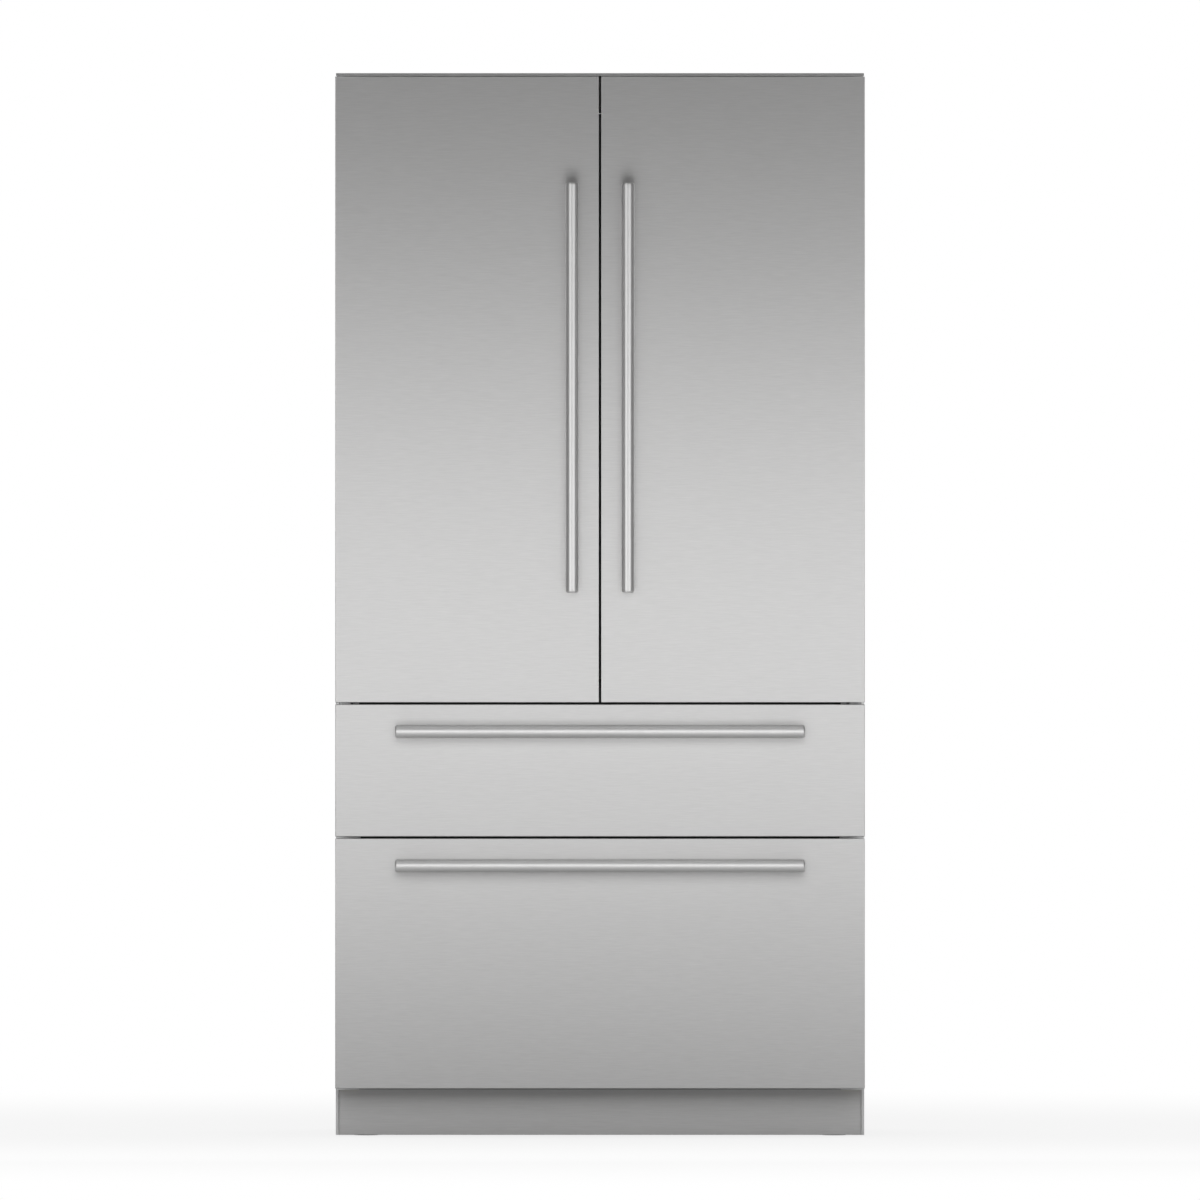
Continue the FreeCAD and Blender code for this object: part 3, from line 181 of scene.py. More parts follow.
def grey(level, warm=0.0):
    """A neutral colour, a little warmer or cooler."""
    return (level * (1 + warm), level, level * (1 - warm), 1)


print("a middle grey is", grey(0.5))

# %% [markdown]
# ## Brushed stainless steel
# The fronts are sheet steel that a belt has brushed from side to side. The scratches are far
# narrower than a millimetre and centimetres long, so they show as fine streaks, and they smear a
# reflection up and down but hardly sideways. Stretched noise gives the streaks, and an
# anisotropic shader gives the smear, because modelling scratches would take millions of faces.
# The handle bars are ground between wheels, so their scratches run round the bar. The strip on
# top lies flat, where the shader's smear would draw a star, so it has none.

# %% Steel finishes
SCRATCHES = {"along": 40, "across": 1800}
BANDS = {"along": 24, "across": 440}
SCRATCH_SHARE = 0.6
STEEL_WARMTH = 0.004
QUARTER_TURN = 0.25


def brushed_steel(name, along, level=0.64, roughness=0.36, anisotropic=0.7, grain=0.09):
    """Steel with streaks along some axes, lighter and darker by its grain."""
    steel = Finish(name, Metallic=1.0, Anisotropic=anisotropic, Anisotropic_Rotation=QUARTER_TURN)
    ways = ["along" if axis in along else "across" for axis in "XYZ"]
    scratches = steel.noise(scale=1.0, detail=3.0, stretch=[SCRATCHES[way] for way in ways])
    bands = steel.noise(scale=1.0, detail=2.0, stretch=[BANDS[way] for way in ways])
    streak = scratches * SCRATCH_SHARE + bands * (1 - SCRATCH_SHARE)
    steel.tint(streak, grey(level - grain, STEEL_WARMTH), grey(level + grain, STEEL_WARMTH))
    steel.waver(streak, roughness, spread=0.04)
    steel.emboss(scratches, depth=0.00002, strength=0.35)
    return steel.material


steel_across = brushed_steel("steel_brushed_across", "X")
steel_strip = brushed_steel("steel_strip", "X", anisotropic=0.0)
steel_bar_across = brushed_steel(
    "steel_bar_across", "YZ", level=0.84, roughness=0.5, anisotropic=0.0, grain=0.03
)
steel_bar_upright = brushed_steel(
    "steel_bar_upright", "XY", level=0.86, roughness=0.46, grain=0.03
)
steel_post = brushed_steel(
    "steel_post", "X", level=0.55, roughness=0.4, anisotropic=0.0, grain=0.05
)
print("steel finishes:", [m.name for m in bpy.data.materials if m.name.startswith("steel")])

# %% [markdown]
# ## Painted sheet
# A built-in cabinet is hidden by the kitchen, so its sides are plain painted sheet. One flat colour
# would look like card, so the paint gets the faint orange-peel ripple of a sprayed coat. The front
# edges of the sides are bare steel, and the rail below the drawers has a grey lip. Above the lip,
# the rails are charcoal: painted shade that keeps the gaps between the fronts dark. The edges and
# the lip could be pieces of their own, but they are one sheet on the real object, so the shader
# asks where it is instead: in front of a depth, or below a height.

# %% Paint
PAINT = {"Coat_Roughness": 0.25, "Coat_Weight": 0.15}
CLOUDING = 0.04
BARE_STEEL = 0.74
SIDE_EDGE = -0.1973
SIDE_EDGE_FADE = 0.0005
RAIL_LIP = 0.098
RAIL_LIP_FADE = 0.001


def orange_peel(paint):
    peel = paint.noise(scale=420.0, detail=2.0)
    paint.emboss(peel, depth=0.00006, strength=0.25)
    return peel


def painted(name, level, roughness=0.42, bare_edge=None):
    """Paint, with bare steel on an edge that lies in front of a given depth."""
    paint = Finish(name, **PAINT)
    orange_peel(paint)
    cloud = paint.noise(scale=3.0, detail=2.0)
    colour = paint.mix(cloud, grey(level * (1 - CLOUDING)), grey(level * (1 + CLOUDING)))
    if bare_edge is not None:
        bare = 1 - paint.ramp(paint.along("Y"), bare_edge, bare_edge + SIDE_EDGE_FADE)
        colour = paint.mix(bare, colour, grey(BARE_STEEL))
        paint.set("Metallic", bare)
    paint.set("Base Color", colour)
    paint.waver(cloud, roughness, spread=0.05)
    return paint.material


def rail_finish(name, level, lip_level):
    """Charcoal where the seals sit, a painted shade for the gaps; a light grey lip above the toe
    kick.
    """
    rail = Finish(name, **PAINT)
    gap_shade_mask = rail.ramp(rail.along("Z"), RAIL_LIP, RAIL_LIP + RAIL_LIP_FADE)
    rail.tint(gap_shade_mask, grey(lip_level), grey(level))
    rail.waver(orange_peel(rail), roughness=0.42, spread=0.04)
    return rail.material


finishes = {
    "cabinet_steel": painted("paint_cabinet_grey", 0.5),
    "compressor_black": painted("paint_compressor_black", 0.02, roughness=0.38),
}
side_paint = painted("paint_side_grey", 0.5, bare_edge=SIDE_EDGE)
# The rails' charcoal is painted shade: it keeps the gaps between the fronts dark.
rail_paint_gap_shade = rail_finish("paint_rail_charcoal_gap_shade", 0.035, lip_level=0.6)
print("painted slots:", list(finishes))

# %% [markdown]
# ## Zinc, foam and rubber
# The back is zinc-coated, and zinc shows spangles, the crystals that a hot coating grows. A Voronoi
# texture has just such cells. Foam is a rough yellow froth that is seen only in a cut. Rubber and
# plastic come out of a mould with a fine grain, which one helper gives to all of them.

# %% Zinc, foam and rubber
SPANGLES = 95.0
SPANGLE_SHARE = 0.55
ZINC_TONES = (0.86, 1.12)
ZINC_COOLNESS = -0.01


def galvanised(name, level):
    zinc = Finish(name, Metallic=0.85)
    sockets = {"Vector": zinc.place(), "Scale": SPANGLES}
    cells = zinc.node("ShaderNodeTexVoronoi", {"feature": "F1"}, sockets, "Color")
    shade = zinc.node("ShaderNodeSeparateColor", {}, {"Color": cells})
    stain = zinc.noise(scale=4.0, detail=4.0)
    tone = shade * SPANGLE_SHARE + stain * (1 - SPANGLE_SHARE)
    dark, light = (grey(level * share, ZINC_COOLNESS) for share in ZINC_TONES)
    zinc.tint(tone, dark, light)
    zinc.waver(shade, roughness=0.42, spread=0.08)
    return zinc.material


def foam_finish(name):
    foam = Finish(name)
    cells = foam.noise(scale=320.0, detail=4.0)
    cloud = foam.noise(scale=9.0, detail=3.0)
    foam.tint(cloud, (0.66, 0.55, 0.33, 1), (0.78, 0.68, 0.45, 1))
    foam.waver(cloud, roughness=0.9, spread=0.05)
    foam.emboss(cells, depth=0.0004, strength=0.6)
    return foam.material


def moulded(name, colour, roughness, grain_depth=0.00003, grain_scale=900.0):
    """Plastic or rubber with the fine grain that the mould leaves."""
    plastic = Finish(name)
    texture = plastic.noise(scale=grain_scale, detail=2.0)
    cloud = plastic.noise(scale=5.0, detail=2.0)
    dark = tuple(value * (1 - CLOUDING) for value in colour[:3]) + (1,)
    plastic.tint(cloud, dark, colour)
    plastic.waver(texture, roughness, spread=0.04)
    plastic.emboss(texture, grain_depth, strength=0.5)
    return plastic.material


finishes.update(
    zinc_steel=galvanised("zinc_spangle", 0.56),
    foam=foam_finish("foam_insulation"),
    foot_rubber=moulded("rubber_foot", (0.035, 0.035, 0.036, 1), 0.7),
)
print("cabinet slots:", list(finishes))

# %% [markdown]
# ## Plastics, glass and aluminium of the inside
# The liners are vacuum-formed white plastic, with a soft gloss and a slight waviness. The shelves
# are tempered glass, which bends light as real glass does. Bins and crispers are clear styrene with
# thin walls. Bending light through so many walls would darken them, so they are see-through
# instead, and show more of themselves at a glancing angle. Their trims are satin aluminium.

# %% Glass and clear plastic
STYRENE = {"straight": 0.16, "glancing": 0.5}


def tempered_glass(name):
    """Glass of a shelf: light passes through, with a trace of green."""
    glass = Finish(name, IOR=1.45, Transmission_Weight=1.0)
    wave = glass.noise(scale=30.0, detail=2.0)
    glass.tint(wave, (0.9, 0.96, 0.94, 1), (0.92, 0.97, 0.95, 1))
    glass.waver(wave, roughness=0.02, spread=0.01)
    glass.emboss(wave, depth=0.00005, strength=0.3)
    return glass.material


def clear_styrene(name):
    """Thin clear plastic: it shows what is behind it, and more of itself at a glancing angle."""
    plastic = Finish(name, IOR=1.5)
    wave = plastic.noise(scale=26.0, detail=2.0)
    rim = plastic.node("ShaderNodeLayerWeight", {}, {"Blend": 0.35}, "Facing")
    plastic.tint(wave, (0.78, 0.83, 0.85, 1), (0.84, 0.88, 0.9, 1))
    plastic.set("Alpha", STYRENE["straight"] + rim * STYRENE["glancing"])
    plastic.waver(wave, roughness=0.1, spread=0.02)
    plastic.emboss(wave, depth=0.0003, strength=0.3)
    return plastic.material


finishes.update(
    clear_plastic=clear_styrene("plastic_clear"),
    shelf_glass=tempered_glass("glass_tempered"),
)
print("clear slots:", list(finishes)[-2:])

# %% Aluminium, lamp and the remaining slots
DRAWN_LINES = (14, 900, 900)
ALUMINIUM_GRAIN = 0.05
ALUMINIUM_COOLNESS = -0.006
DIODES = (16, 16, 1)


def satin_aluminium(name, level=0.66, roughness=0.34):
    """Aluminium with fine lines from side to side."""
    metal = Finish(name, Metallic=1.0)
    lines = metal.noise(scale=1.0, detail=2.0, stretch=DRAWN_LINES)
    dark = grey(level - ALUMINIUM_GRAIN, ALUMINIUM_COOLNESS)
    light = grey(level + ALUMINIUM_GRAIN, ALUMINIUM_COOLNESS)
    metal.tint(lines, dark, light)
    metal.waver(lines, roughness, spread=0.06)
    metal.emboss(lines, depth=0.00002, strength=0.3)
    return metal.material


def lit_lens(name):
    lens = Finish(name, Roughness=0.35, Emission_Strength=0.9)
    diodes = lens.noise(scale=1.0, detail=0.0, stretch=DIODES)
    lens.tint(diodes, grey(0.82), grey(0.9))
    lens.set("Emission Color", lens.mix(diodes, (0.86, 0.93, 1, 1), (1, 1, 1, 1)))
    return lens.material


finishes.update(
    white_liner=moulded("liner_white", (0.8, 0.805, 0.8, 1), 0.3, 0.0002, 14.0),
    door_core=moulded("core_charcoal", (0.085, 0.086, 0.09, 1), 0.5),
    seal_grey=moulded("seal_dark_grey", (0.1, 0.101, 0.104, 1), 0.6),
    trim_aluminium=satin_aluminium("aluminium_satin"),
    coil_aluminium=satin_aluminium("aluminium_coil", 0.7),
    black_plastic=moulded("plastic_black", (0.02, 0.02, 0.021, 1), 0.45),
    black_gloss=moulded("glass_black_panel", (0.012, 0.012, 0.014, 1), 0.1, 0.000005),
    light_lens=lit_lens("lens_lit"),
    stainless=steel_across,
)
print("finishes for", len(finishes), "slots")


# %% [markdown]
# ## Dressing the solids
# Every solid takes the finish of its slot, apart from the two sheets with a finish of their own. A
# solid whose shape is right stays as it is, because the frame is also what the physics and the
# drawings use.


# %% Finishes on the solids
def dress(node, material):
    piece = nodes[node]
    piece.data.materials.clear()
    piece.data.materials.append(material)


own_finish = {"front_rails": rail_paint_gap_shade, "side_panels": side_paint}
for node, slot in slot_of.items():
    dress(node, own_finish.get(node, finishes[slot]))
print("dressed", len(slot_of), "solids")

# %% [markdown]
# ## How a new piece joins the object
# A piece starts as a bmesh, Blender's editable mesh. Once its shape is done it becomes an object
# at the origin, smooth where it is round and sharp where it folds. Weighted normals keep the large
# faces flat beside a small rounding. The piece rides on the body that carries it, so it moves when
# a door or a drawer does.

# %% Pieces
SMOOTH_BELOW = math.radians(32)
LARGE_FACES_FIRST = 100


def piece(name, shell, body, slot, material, *replaced):
    mesh = bpy.data.meshes.new(name)
    shell.to_mesh(mesh)
    shell.free()
    mesh.materials.append(material)
    mesh.shade_smooth()
    mesh.set_sharp_from_angle(angle=SMOOTH_BELOW)
    made = bpy.data.objects.new(name, mesh)
    bpy.context.scene.collection.objects.link(made)
    even = made.modifiers.new("even_shading", "WEIGHTED_NORMAL")
    even.keep_sharp = True
    even.weight = LARGE_FACES_FIRST
    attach(made, body)
    if replaced:
        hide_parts(*replaced)
    return made


def bevel(shell, edges, width, segments, clamp=False):
    """Round some edges. The operator's defaults differ from the editor's, so each is given."""
    bmesh.ops.bevel(
        shell,
        geom=edges,
        offset=width,
        affect="EDGES",
        segments=segments,
        profile=0.5,
        material=-1,
        clamp_overlap=clamp,
    )


print("folds over", round(math.degrees(SMOOTH_BELOW)), "degrees stay sharp")

# %% [markdown]
# ## Bar handles
# Each handle is a round bar of 26 mm on two posts. The solid has a plain chamfer at the bar's end
# and coarse facets, which a highlight would give away. A ready-made cylinder would be round too,
# but a profile spun round an axis also serves for screws and rings. A bevel rounds the bar's ends
# as on the real one.

# %% Turned bars
BAR_FACETS = 72
BAR_END_ROUND = 0.0046
BAR_END_SEGMENTS = 5
TOUCHING = 1e-6


def spun(profile, steps):
    """A profile of (distance from the axis, place along it) turned about Z."""
    shell = bmesh.new()
    points = [shell.verts.new((out, 0, along)) for out, along in profile]
    lines = [shell.edges.new(pair) for pair in zip(points, points[1:])]
    bmesh.ops.spin(
        shell,
        geom=points + lines,
        cent=(0, 0, 0),
        axis=(0, 0, 1),
        angle=math.tau,
        steps=steps,
        use_merge=True,
    )
    bmesh.ops.remove_doubles(shell, verts=shell.verts, dist=TOUCHING)
    bmesh.ops.recalc_face_normals(shell, faces=shell.faces)
    return shell


def turned_bar(half, radius):
    """A bar along Z with rounded ends."""
    shell = spun([(0, -half), (radius, -half), (radius, half), (0, half)], BAR_FACETS)
    rims = [
        edge
        for edge in shell.edges
        if abs(edge.verts[0].co.z - edge.verts[1].co.z) < TOUCHING
        and all(vert.co.xy.length > radius / 2 for vert in edge.verts)
    ]
    bevel(shell, rims, BAR_END_ROUND, BAR_END_SEGMENTS)
    bmesh.ops.recalc_face_normals(shell, faces=shell.faces)
    return shell


def handle_bar(node, steel):
    low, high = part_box(node)
    size = high - low
    upright = size.z > size.x
    shell = turned_bar(max(size) / 2, size.y / 2)
    turn = Matrix() if upright else Matrix.Rotation(math.radians(90), 4, "Y")
    place = Matrix.Translation((low + high) / 2)
    bmesh.ops.transform(shell, matrix=place @ turn, verts=shell.verts)
    return piece(f"{node}_turned", shell, body_of[node], "stainless", steel, node)


bar_steel = {
    "left": steel_bar_upright,
    "right": steel_bar_upright,
    "upper": steel_bar_across,
    "lower": steel_bar_across,
}
for name, steel in bar_steel.items():
    made = handle_bar(f"{name}_handle_bar", steel)
    print(made.name, len(made.data.polygons), "faces")

# %% [markdown]
# ## Soft edges
# Nothing on a real appliance has a perfectly sharp edge: sheet is folded, plastic is moulded, and
# a thin line of light runs along every edge. A Bevel modifier would find no folds here, because a
# solid's mesh is loose triangles. So a copy is merged, its flat triangles are joined into whole
# faces, and only then are its folds bevelled.

# %% Rounded copies
MERGE = 2e-6
FLAT = math.radians(0.4)
FOLD = math.radians(50)
FOLD_SEGMENTS = 2


def merged_copy(node):
    shell = bmesh.new()
    shell.from_mesh(nodes[node].data)
    bmesh.ops.remove_doubles(shell, verts=shell.verts, dist=MERGE)
    bmesh.ops.dissolve_limit(shell, angle_limit=FLAT, verts=shell.verts, edges=shell.edges)
    return shell


def round_folds(shell, width):
    folds = [
        edge
        for edge in shell.edges
        if len(edge.link_faces) == 2 and edge.calc_face_angle(0.0) > FOLD
    ]
    bevel(shell, folds, width, FOLD_SEGMENTS, clamp=True)


def rounded(node, width, material=None):
    shell = merged_copy(node)
    if width:
        round_folds(shell, width)
    finish = material or finishes[slot_of[node]]
    return piece(f"{node}_rounded", shell, body_of[node], slot_of[node], finish, node)


print("folds over", round(math.degrees(FOLD)), "degrees are rounded")

# %% How wide each fold is
FOLD_WIDTHS = {
    0.0008: ["left_door_panel", "right_door_panel", "upper_drawer_panel", "lower_drawer_panel"],
    0.0006: ["toe_kick", "shelf_frames", "hinge_brackets", "hinge_pins"],
    0.0010: ["upper_drawer_box", "lower_drawer_box", "crisper_cover", "evaporator_cover"],
    0.0009: ["left_door_bins", "right_door_bins", "left_door_gasket", "right_door_gasket"],
    0.0011: ["upper_drawer_gasket", "lower_drawer_gasket", "control_panel", "air_duct_cover"],
    0.0016: ["ceiling_light", "left_door_core", "right_door_core"],
    0.0017: ["upper_drawer_core", "lower_drawer_core"],
    0.0025: ["left_door_liner", "right_door_liner"],
    0: ["fresh_food_liner", "freezer_liner", "levelling_feet"],
}
POST_FOLD = 0.0006
MULLION_FOLD = 0.0016

for width, held in FOLD_WIDTHS.items():
    for node in held:
        rounded(node, width)
for name in bar_steel:
    rounded(f"{name}_handle_posts", POST_FOLD, steel_post)
# The mullion gets the cores' charcoal, not the liner's white: painted shade for the gap between the
# doors.
rounded("flipper_mullion", MULLION_FOLD, finishes["door_core"])
print("rounded", sum(len(held) for held in FOLD_WIDTHS.values()) + len(bar_steel) + 1, "solids")

# %% [markdown]
# ## Crispers
# The produce drawers stand on ribs under their floor, so a little air shows below the clear
# plastic. Where two faces lie in one plane the renderer can't tell which is in front, so the
# copies' floor is lifted by the height of those ribs. Modelling each rib would add nothing that
# shows.

# %% Crispers on their ribs
RIB_HEIGHT = 0.0008
CRISPER_FOLD = 0.0009
LEVEL_WITH = 1e-5

shell = merged_copy("crispers")
floor_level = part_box("crispers")[0].z
soles = [vert for vert in shell.verts if vert.co.z < floor_level + LEVEL_WITH]
bmesh.ops.translate(shell, vec=(0, 0, RIB_HEIGHT), verts=soles)
round_folds(shell, CRISPER_FOLD)
tubs = piece(
    "crispers_on_ribs", shell, "cabinet", "clear_plastic", finishes["clear_plastic"], "crispers"
)
print(tubs.name, len(tubs.data.polygons), "faces")

# %% [markdown]
# ## The strip above the doors
# The cover over the hinges is sheet folded along its front. A brake press can't fold a sharp
# corner, so the fold gets a wide round, which shows in the picture as a dark line above a bright
# one. Only that one edge is bevelled, because the others are cut, not folded.

# %% Folded strip
STRIP_FOLD = 0.0024
STRIP_FOLD_SEGMENTS = 7

shell = merged_copy("top_trim")
low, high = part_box("top_trim")
crest = [
    edge
    for edge in shell.edges
    if all(
        abs(vert.co.y - low.y) < LEVEL_WITH and abs(vert.co.z - high.z) < LEVEL_WITH
        for vert in edge.verts
    )
]
bevel(shell, crest, STRIP_FOLD, STRIP_FOLD_SEGMENTS)
strip = piece("top_trim_folded", shell, "cabinet", slot_of["top_trim"], steel_strip, "top_trim")
print(strip.name, "from", len(crest), "edge,", len(strip.data.polygons), "faces")

# %% [markdown]
# ## Screws
# Screws are too small for the CAD model, but the eye looks for them on sheet metal. A painted dot
# would look flat from the side, so one head is spun from its profile, with a socket of six lobes,
# and copied to every place that needs one. The rear sheet's copy is pressed in by the height of a
# head, so that its screws stay within the depth.

# %% One screw and its copies
HEAD_RADIUS = 0.0042
HEAD_HEIGHT = 0.0008
HEAD_FACETS = 24
HEAD_PROFILE = ((0, 0.3), (0.4, 0.3), (0.44, 0.95), (0.7, 1.0), (0.93, 0.7), (1.0, 0.25), (1.0, 0))
SOCKET = {"inside": 0.3, "outside": 0.5, "lobes": 6, "swell": 0.17}


def screw_head():
    """A flat round head along Z with a lobed socket."""
    profile = [(out * HEAD_RADIUS, up * HEAD_HEIGHT) for out, up in HEAD_PROFILE]
    shell = spun(profile, HEAD_FACETS)
    for vert in shell.verts:
        if SOCKET["inside"] < vert.co.xy.length / HEAD_RADIUS < SOCKET["outside"]:
            lobe = math.cos(SOCKET["lobes"] * math.atan2(vert.co.y, vert.co.x))
            vert.co.xy = vert.co.xy * (1 + SOCKET["swell"] * lobe)
    return shell


def add_copies(shell, pattern, places):
    """Copies of one pattern, each moved by a matrix of its own, join a shell."""
    mesh = bpy.data.meshes.new("pattern")
    pattern.to_mesh(mesh)
    pattern.free()
    for place in places:
        known = len(shell.verts)
        shell.from_mesh(mesh)
        shell.verts.ensure_lookup_table()
        bmesh.ops.transform(shell, matrix=place, verts=shell.verts[known:])
    bpy.data.meshes.remove(mesh)


def steps_between(first, last, count):
    return [first + (last - first) * step / (count - 1) for step in range(count)]


def screws(name, turn, points):
    shell = bmesh.new()
    add_copies(shell, screw_head(), [Matrix.Translation(point) @ turn for point in points])
    piece(name, shell, "cabinet", "compressor_black", finishes["compressor_black"])
    print(name, len(points), "heads")


print("a screw head is", round(HEAD_RADIUS * 2000, 1), "mm across")

# %% Rear sheet and roof
TO_FRONT = Matrix.Rotation(math.radians(90), 4, "X")
TO_BACK = Matrix.Rotation(math.radians(-90), 4, "X")
SHEET_MARGIN = 0.012
CROSS_ROW = steps_between(-0.4, 0.4, 5)
ROOF_ROW = steps_between(-0.08, 0.3, 4)
REAR_COLUMN = {"margin": 0.06, "count": 9}
REAR_LOW_ROW = 0.04

low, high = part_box("back_panel")
rear = high.y - HEAD_HEIGHT
shell = merged_copy("back_panel")
outer = [vert for vert in shell.verts if vert.co.y > high.y - LEVEL_WITH]
bmesh.ops.translate(shell, vec=(0, -HEAD_HEIGHT, 0), verts=outer)
piece("back_panel_pressed", shell, "cabinet", "zinc_steel", finishes["zinc_steel"], "back_panel")

edge_x = high.x - SHEET_MARGIN
margin = REAR_COLUMN["margin"]
column = steps_between(margin, high.z - margin, REAR_COLUMN["count"])
heads = [(side * edge_x, rear, z) for side in (-1, 1) for z in column]
heads += [(x, rear, z) for x in CROSS_ROW for z in (REAR_LOW_ROW, high.z - SHEET_MARGIN)]
screws("rear_screws", TO_BACK, heads)

low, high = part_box("top_panel")
edge_x = high.x - SHEET_MARGIN
heads = [(side * edge_x, y, high.z) for side in (-1, 1) for y in ROOF_ROW]
heads += [(x, high.y - SHEET_MARGIN, high.z) for x in CROSS_ROW]
screws("roof_screws", Matrix(), heads)

# %% Hinge screws
PIN_RADIUS = 0.005
LEAF_BEHIND_CORE = 0.005
LEAF_COLUMNS = (-0.008, 0.008)
LEAF_ROWS = (0.862, 0.874)

leaf_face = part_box("left_door_core")[1].y + LEAF_BEHIND_CORE
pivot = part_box("hinge_pins")[1].x - PIN_RADIUS
heads = [
    (side * pivot + aside, leaf_face, z)
    for side in (-1, 1)
    for aside in LEAF_COLUMNS
    for z in LEAF_ROWS
]
screws("hinge_screws", TO_FRONT, heads)

# %% [markdown]
# ## Ribs of the rear sheet
# A thin sheet of this size would drum, so ribs are pressed into it. They stand as high as the screw
# heads. A bump in the finish would vanish in the sheet's outline, so each rib is a flat bar whose
# long edges are bevelled away, which is the shape a press leaves.


# %% Rear ribs
def slab(shell, low, high, width):
    """A bar between two corners, with softened edges."""
    verts = bmesh.ops.create_cube(shell, size=1.0)["verts"]
    low, high = Vector(low), Vector(high)
    size = Matrix.Diagonal((high - low).to_4d())
    bmesh.ops.transform(shell, matrix=Matrix.Translation((low + high) / 2) @ size, verts=verts)
    edges = list(dict.fromkeys(edge for vert in verts for edge in vert.link_edges))
    bevel(shell, edges, width, FOLD_SEGMENTS)


RIB_HALF = 0.009
RIB_FLANK = HEAD_HEIGHT * 0.95
RIB_FRAME = {"left": -0.44, "right": 0.44, "bottom": 0.26, "top": 2.03}
RIB_LEVELS = (0.7, 1.145, 1.59)

shell = bmesh.new()
for x in (RIB_FRAME["left"], RIB_FRAME["right"]):
    slab(
        shell,
        (x - RIB_HALF, rear - HEAD_HEIGHT, RIB_FRAME["bottom"]),
        (x + RIB_HALF, rear + HEAD_HEIGHT, RIB_FRAME["top"]),
        RIB_FLANK,
    )
for z in (RIB_FRAME["bottom"], *RIB_LEVELS, RIB_FRAME["top"]):
    slab(
        shell,
        (RIB_FRAME["left"] + RIB_HALF * 2, rear - HEAD_HEIGHT, z - RIB_HALF),
        (RIB_FRAME["right"] - RIB_HALF * 2, rear + HEAD_HEIGHT, z + RIB_HALF),
        RIB_FLANK,
    )
ribs = piece("rear_ribs", shell, "cabinet", "zinc_steel", finishes["zinc_steel"])
print(ribs.name, len(ribs.data.polygons), "faces")

# %% [markdown]
# ## Cable grommet
# A rubber ring lines the hole in the rear sheet, because bare sheet would cut the mains cable. A
# torus has no groove for the sheet, so the ring's own profile is spun.

# %% Grommet
GROMMET_MM = (
    (6, -1.4),
    (6, 0.5),
    (6.4, 0.8),
    (12.4, 0.8),
    (13, 0.3),
    (13, 0),
    (9.9, 0),
    (9.9, -1.4),
    (6, -1.4),
)
GROMMET_FACETS = 48
CABLE_LEVEL = 0.09

shell = spun([(out / 1000, along / 1000) for out, along in GROMMET_MM], GROMMET_FACETS)
entry = Matrix.Translation((0, rear, CABLE_LEVEL)) @ TO_BACK
bmesh.ops.transform(shell, matrix=entry, verts=shell.verts)
grommet = piece("cable_grommet", shell, "cabinet", "foot_rubber", finishes["foot_rubber"])
print(grommet.name, len(grommet.data.polygons), "faces")

# %% [markdown]
# ## Trims of the door bins
# A bright strip along the front of each clear bin keeps bottles in and gives the hand an edge. It
# is an extrusion, so it is one long bar with soft edges, held a little clear of the bin's corners.

# %% Bin trims
bin_trim = satin_aluminium("aluminium_bin_trim", 0.85, 0.52)
BIN_TOPS = (1.075, 1.415, 1.755)
TRIM = {"height": 0.016, "drop": 0.003, "thick": 0.0015, "inset": 0.015, "edge": 0.0006}

for side in ("left", "right"):
    low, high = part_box(f"{side}_door_bins")
    shell = bmesh.new()
    for top in BIN_TOPS:
        slab(
            shell,
            (low.x + TRIM["inset"], high.y, top - TRIM["drop"] - TRIM["height"]),
            (high.x - TRIM["inset"], high.y + TRIM["thick"], top - TRIM["drop"]),
            TRIM["edge"],
        )
    body = body_of[f"{side}_door_bins"]
    made = piece(f"{side}_bin_trims", shell, body, "trim_aluminium", bin_trim)
    print(made.name, len(made.data.polygons), "faces")

# %% [markdown]
# ## Touch marks of the control panel
# The panel is black glass with lit marks: a row of short bars for the temperature and a ring at
# each end to touch. They carry no letters. A texture would need an image, so they are thin pieces.
# They lie on the sloping front, so they are made upright and then tilted.

# %% Touch marks
PANEL_SLOPE = 0.016
MARK = {"half": 0.0035, "rise": 0.0009, "depth": 0.0003, "sink": 0.0001, "edge": 0.0001}
MARK_ROW = steps_between(-0.05, 0.05, 8)
RING_MM = ((3.2, 0), (3.2, 0.3), (4.2, 0.3), (4.2, 0))
RING_FACETS = 40
RING_ASIDE = 0.09

low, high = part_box("control_panel")
slope = math.atan2(PANEL_SLOPE, high.z - low.z)
middle = Matrix.Translation((0, low.y + PANEL_SLOPE / 2, (low.z + high.z) / 2))

shell = bmesh.new()
for x in MARK_ROW:
    slab(
        shell,
        (x - MARK["half"], -MARK["depth"], -MARK["rise"]),
        (x + MARK["half"], MARK["sink"], MARK["rise"]),
        MARK["edge"],
    )
ring = spun([(out / 1000, up / 1000) for out, up in RING_MM], RING_FACETS)
ends = [Matrix.Translation((side * RING_ASIDE, 0, 0)) @ TO_FRONT for side in (-1, 1)]
add_copies(shell, ring, ends)
bmesh.ops.transform(shell, matrix=middle @ Matrix.Rotation(slope, 4, "X"), verts=shell.verts)
marks = piece("control_marks", shell, "cabinet", "light_lens", finishes["light_lens"])
print(marks.name, len(marks.data.polygons), "faces")

# %% [markdown]
# ## Camera
# The photograph is a straight-on product picture, taken from far away with a long lens, so the
# sides of the object stay out of sight. An orthographic camera would come close, but a real lens
# keeps the trace of depth that the toe kick shows.

# %% Camera
EYE_HEIGHT = 1.075
EYE_DISTANCE = 42.0
FRAME_WIDTH = 2.4022
SENSOR = 36.0
SIGHT = 200.0
door_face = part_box("left_door_panel")[0].y

camera = bpy.data.cameras.new("camera")
camera.sensor_width = SENSOR
camera.lens = SENSOR * EYE_DISTANCE / FRAME_WIDTH
camera.clip_end = SIGHT
eye = bpy.data.objects.new("camera", camera)
eye.location = (0, door_face - EYE_DISTANCE, EYE_HEIGHT)
eye.rotation_euler = (math.radians(90), 0, 0)
bpy.context.scene.collection.objects.link(eye)
bpy.context.scene.camera = eye
print("lens", round(camera.lens, 1), "mm")

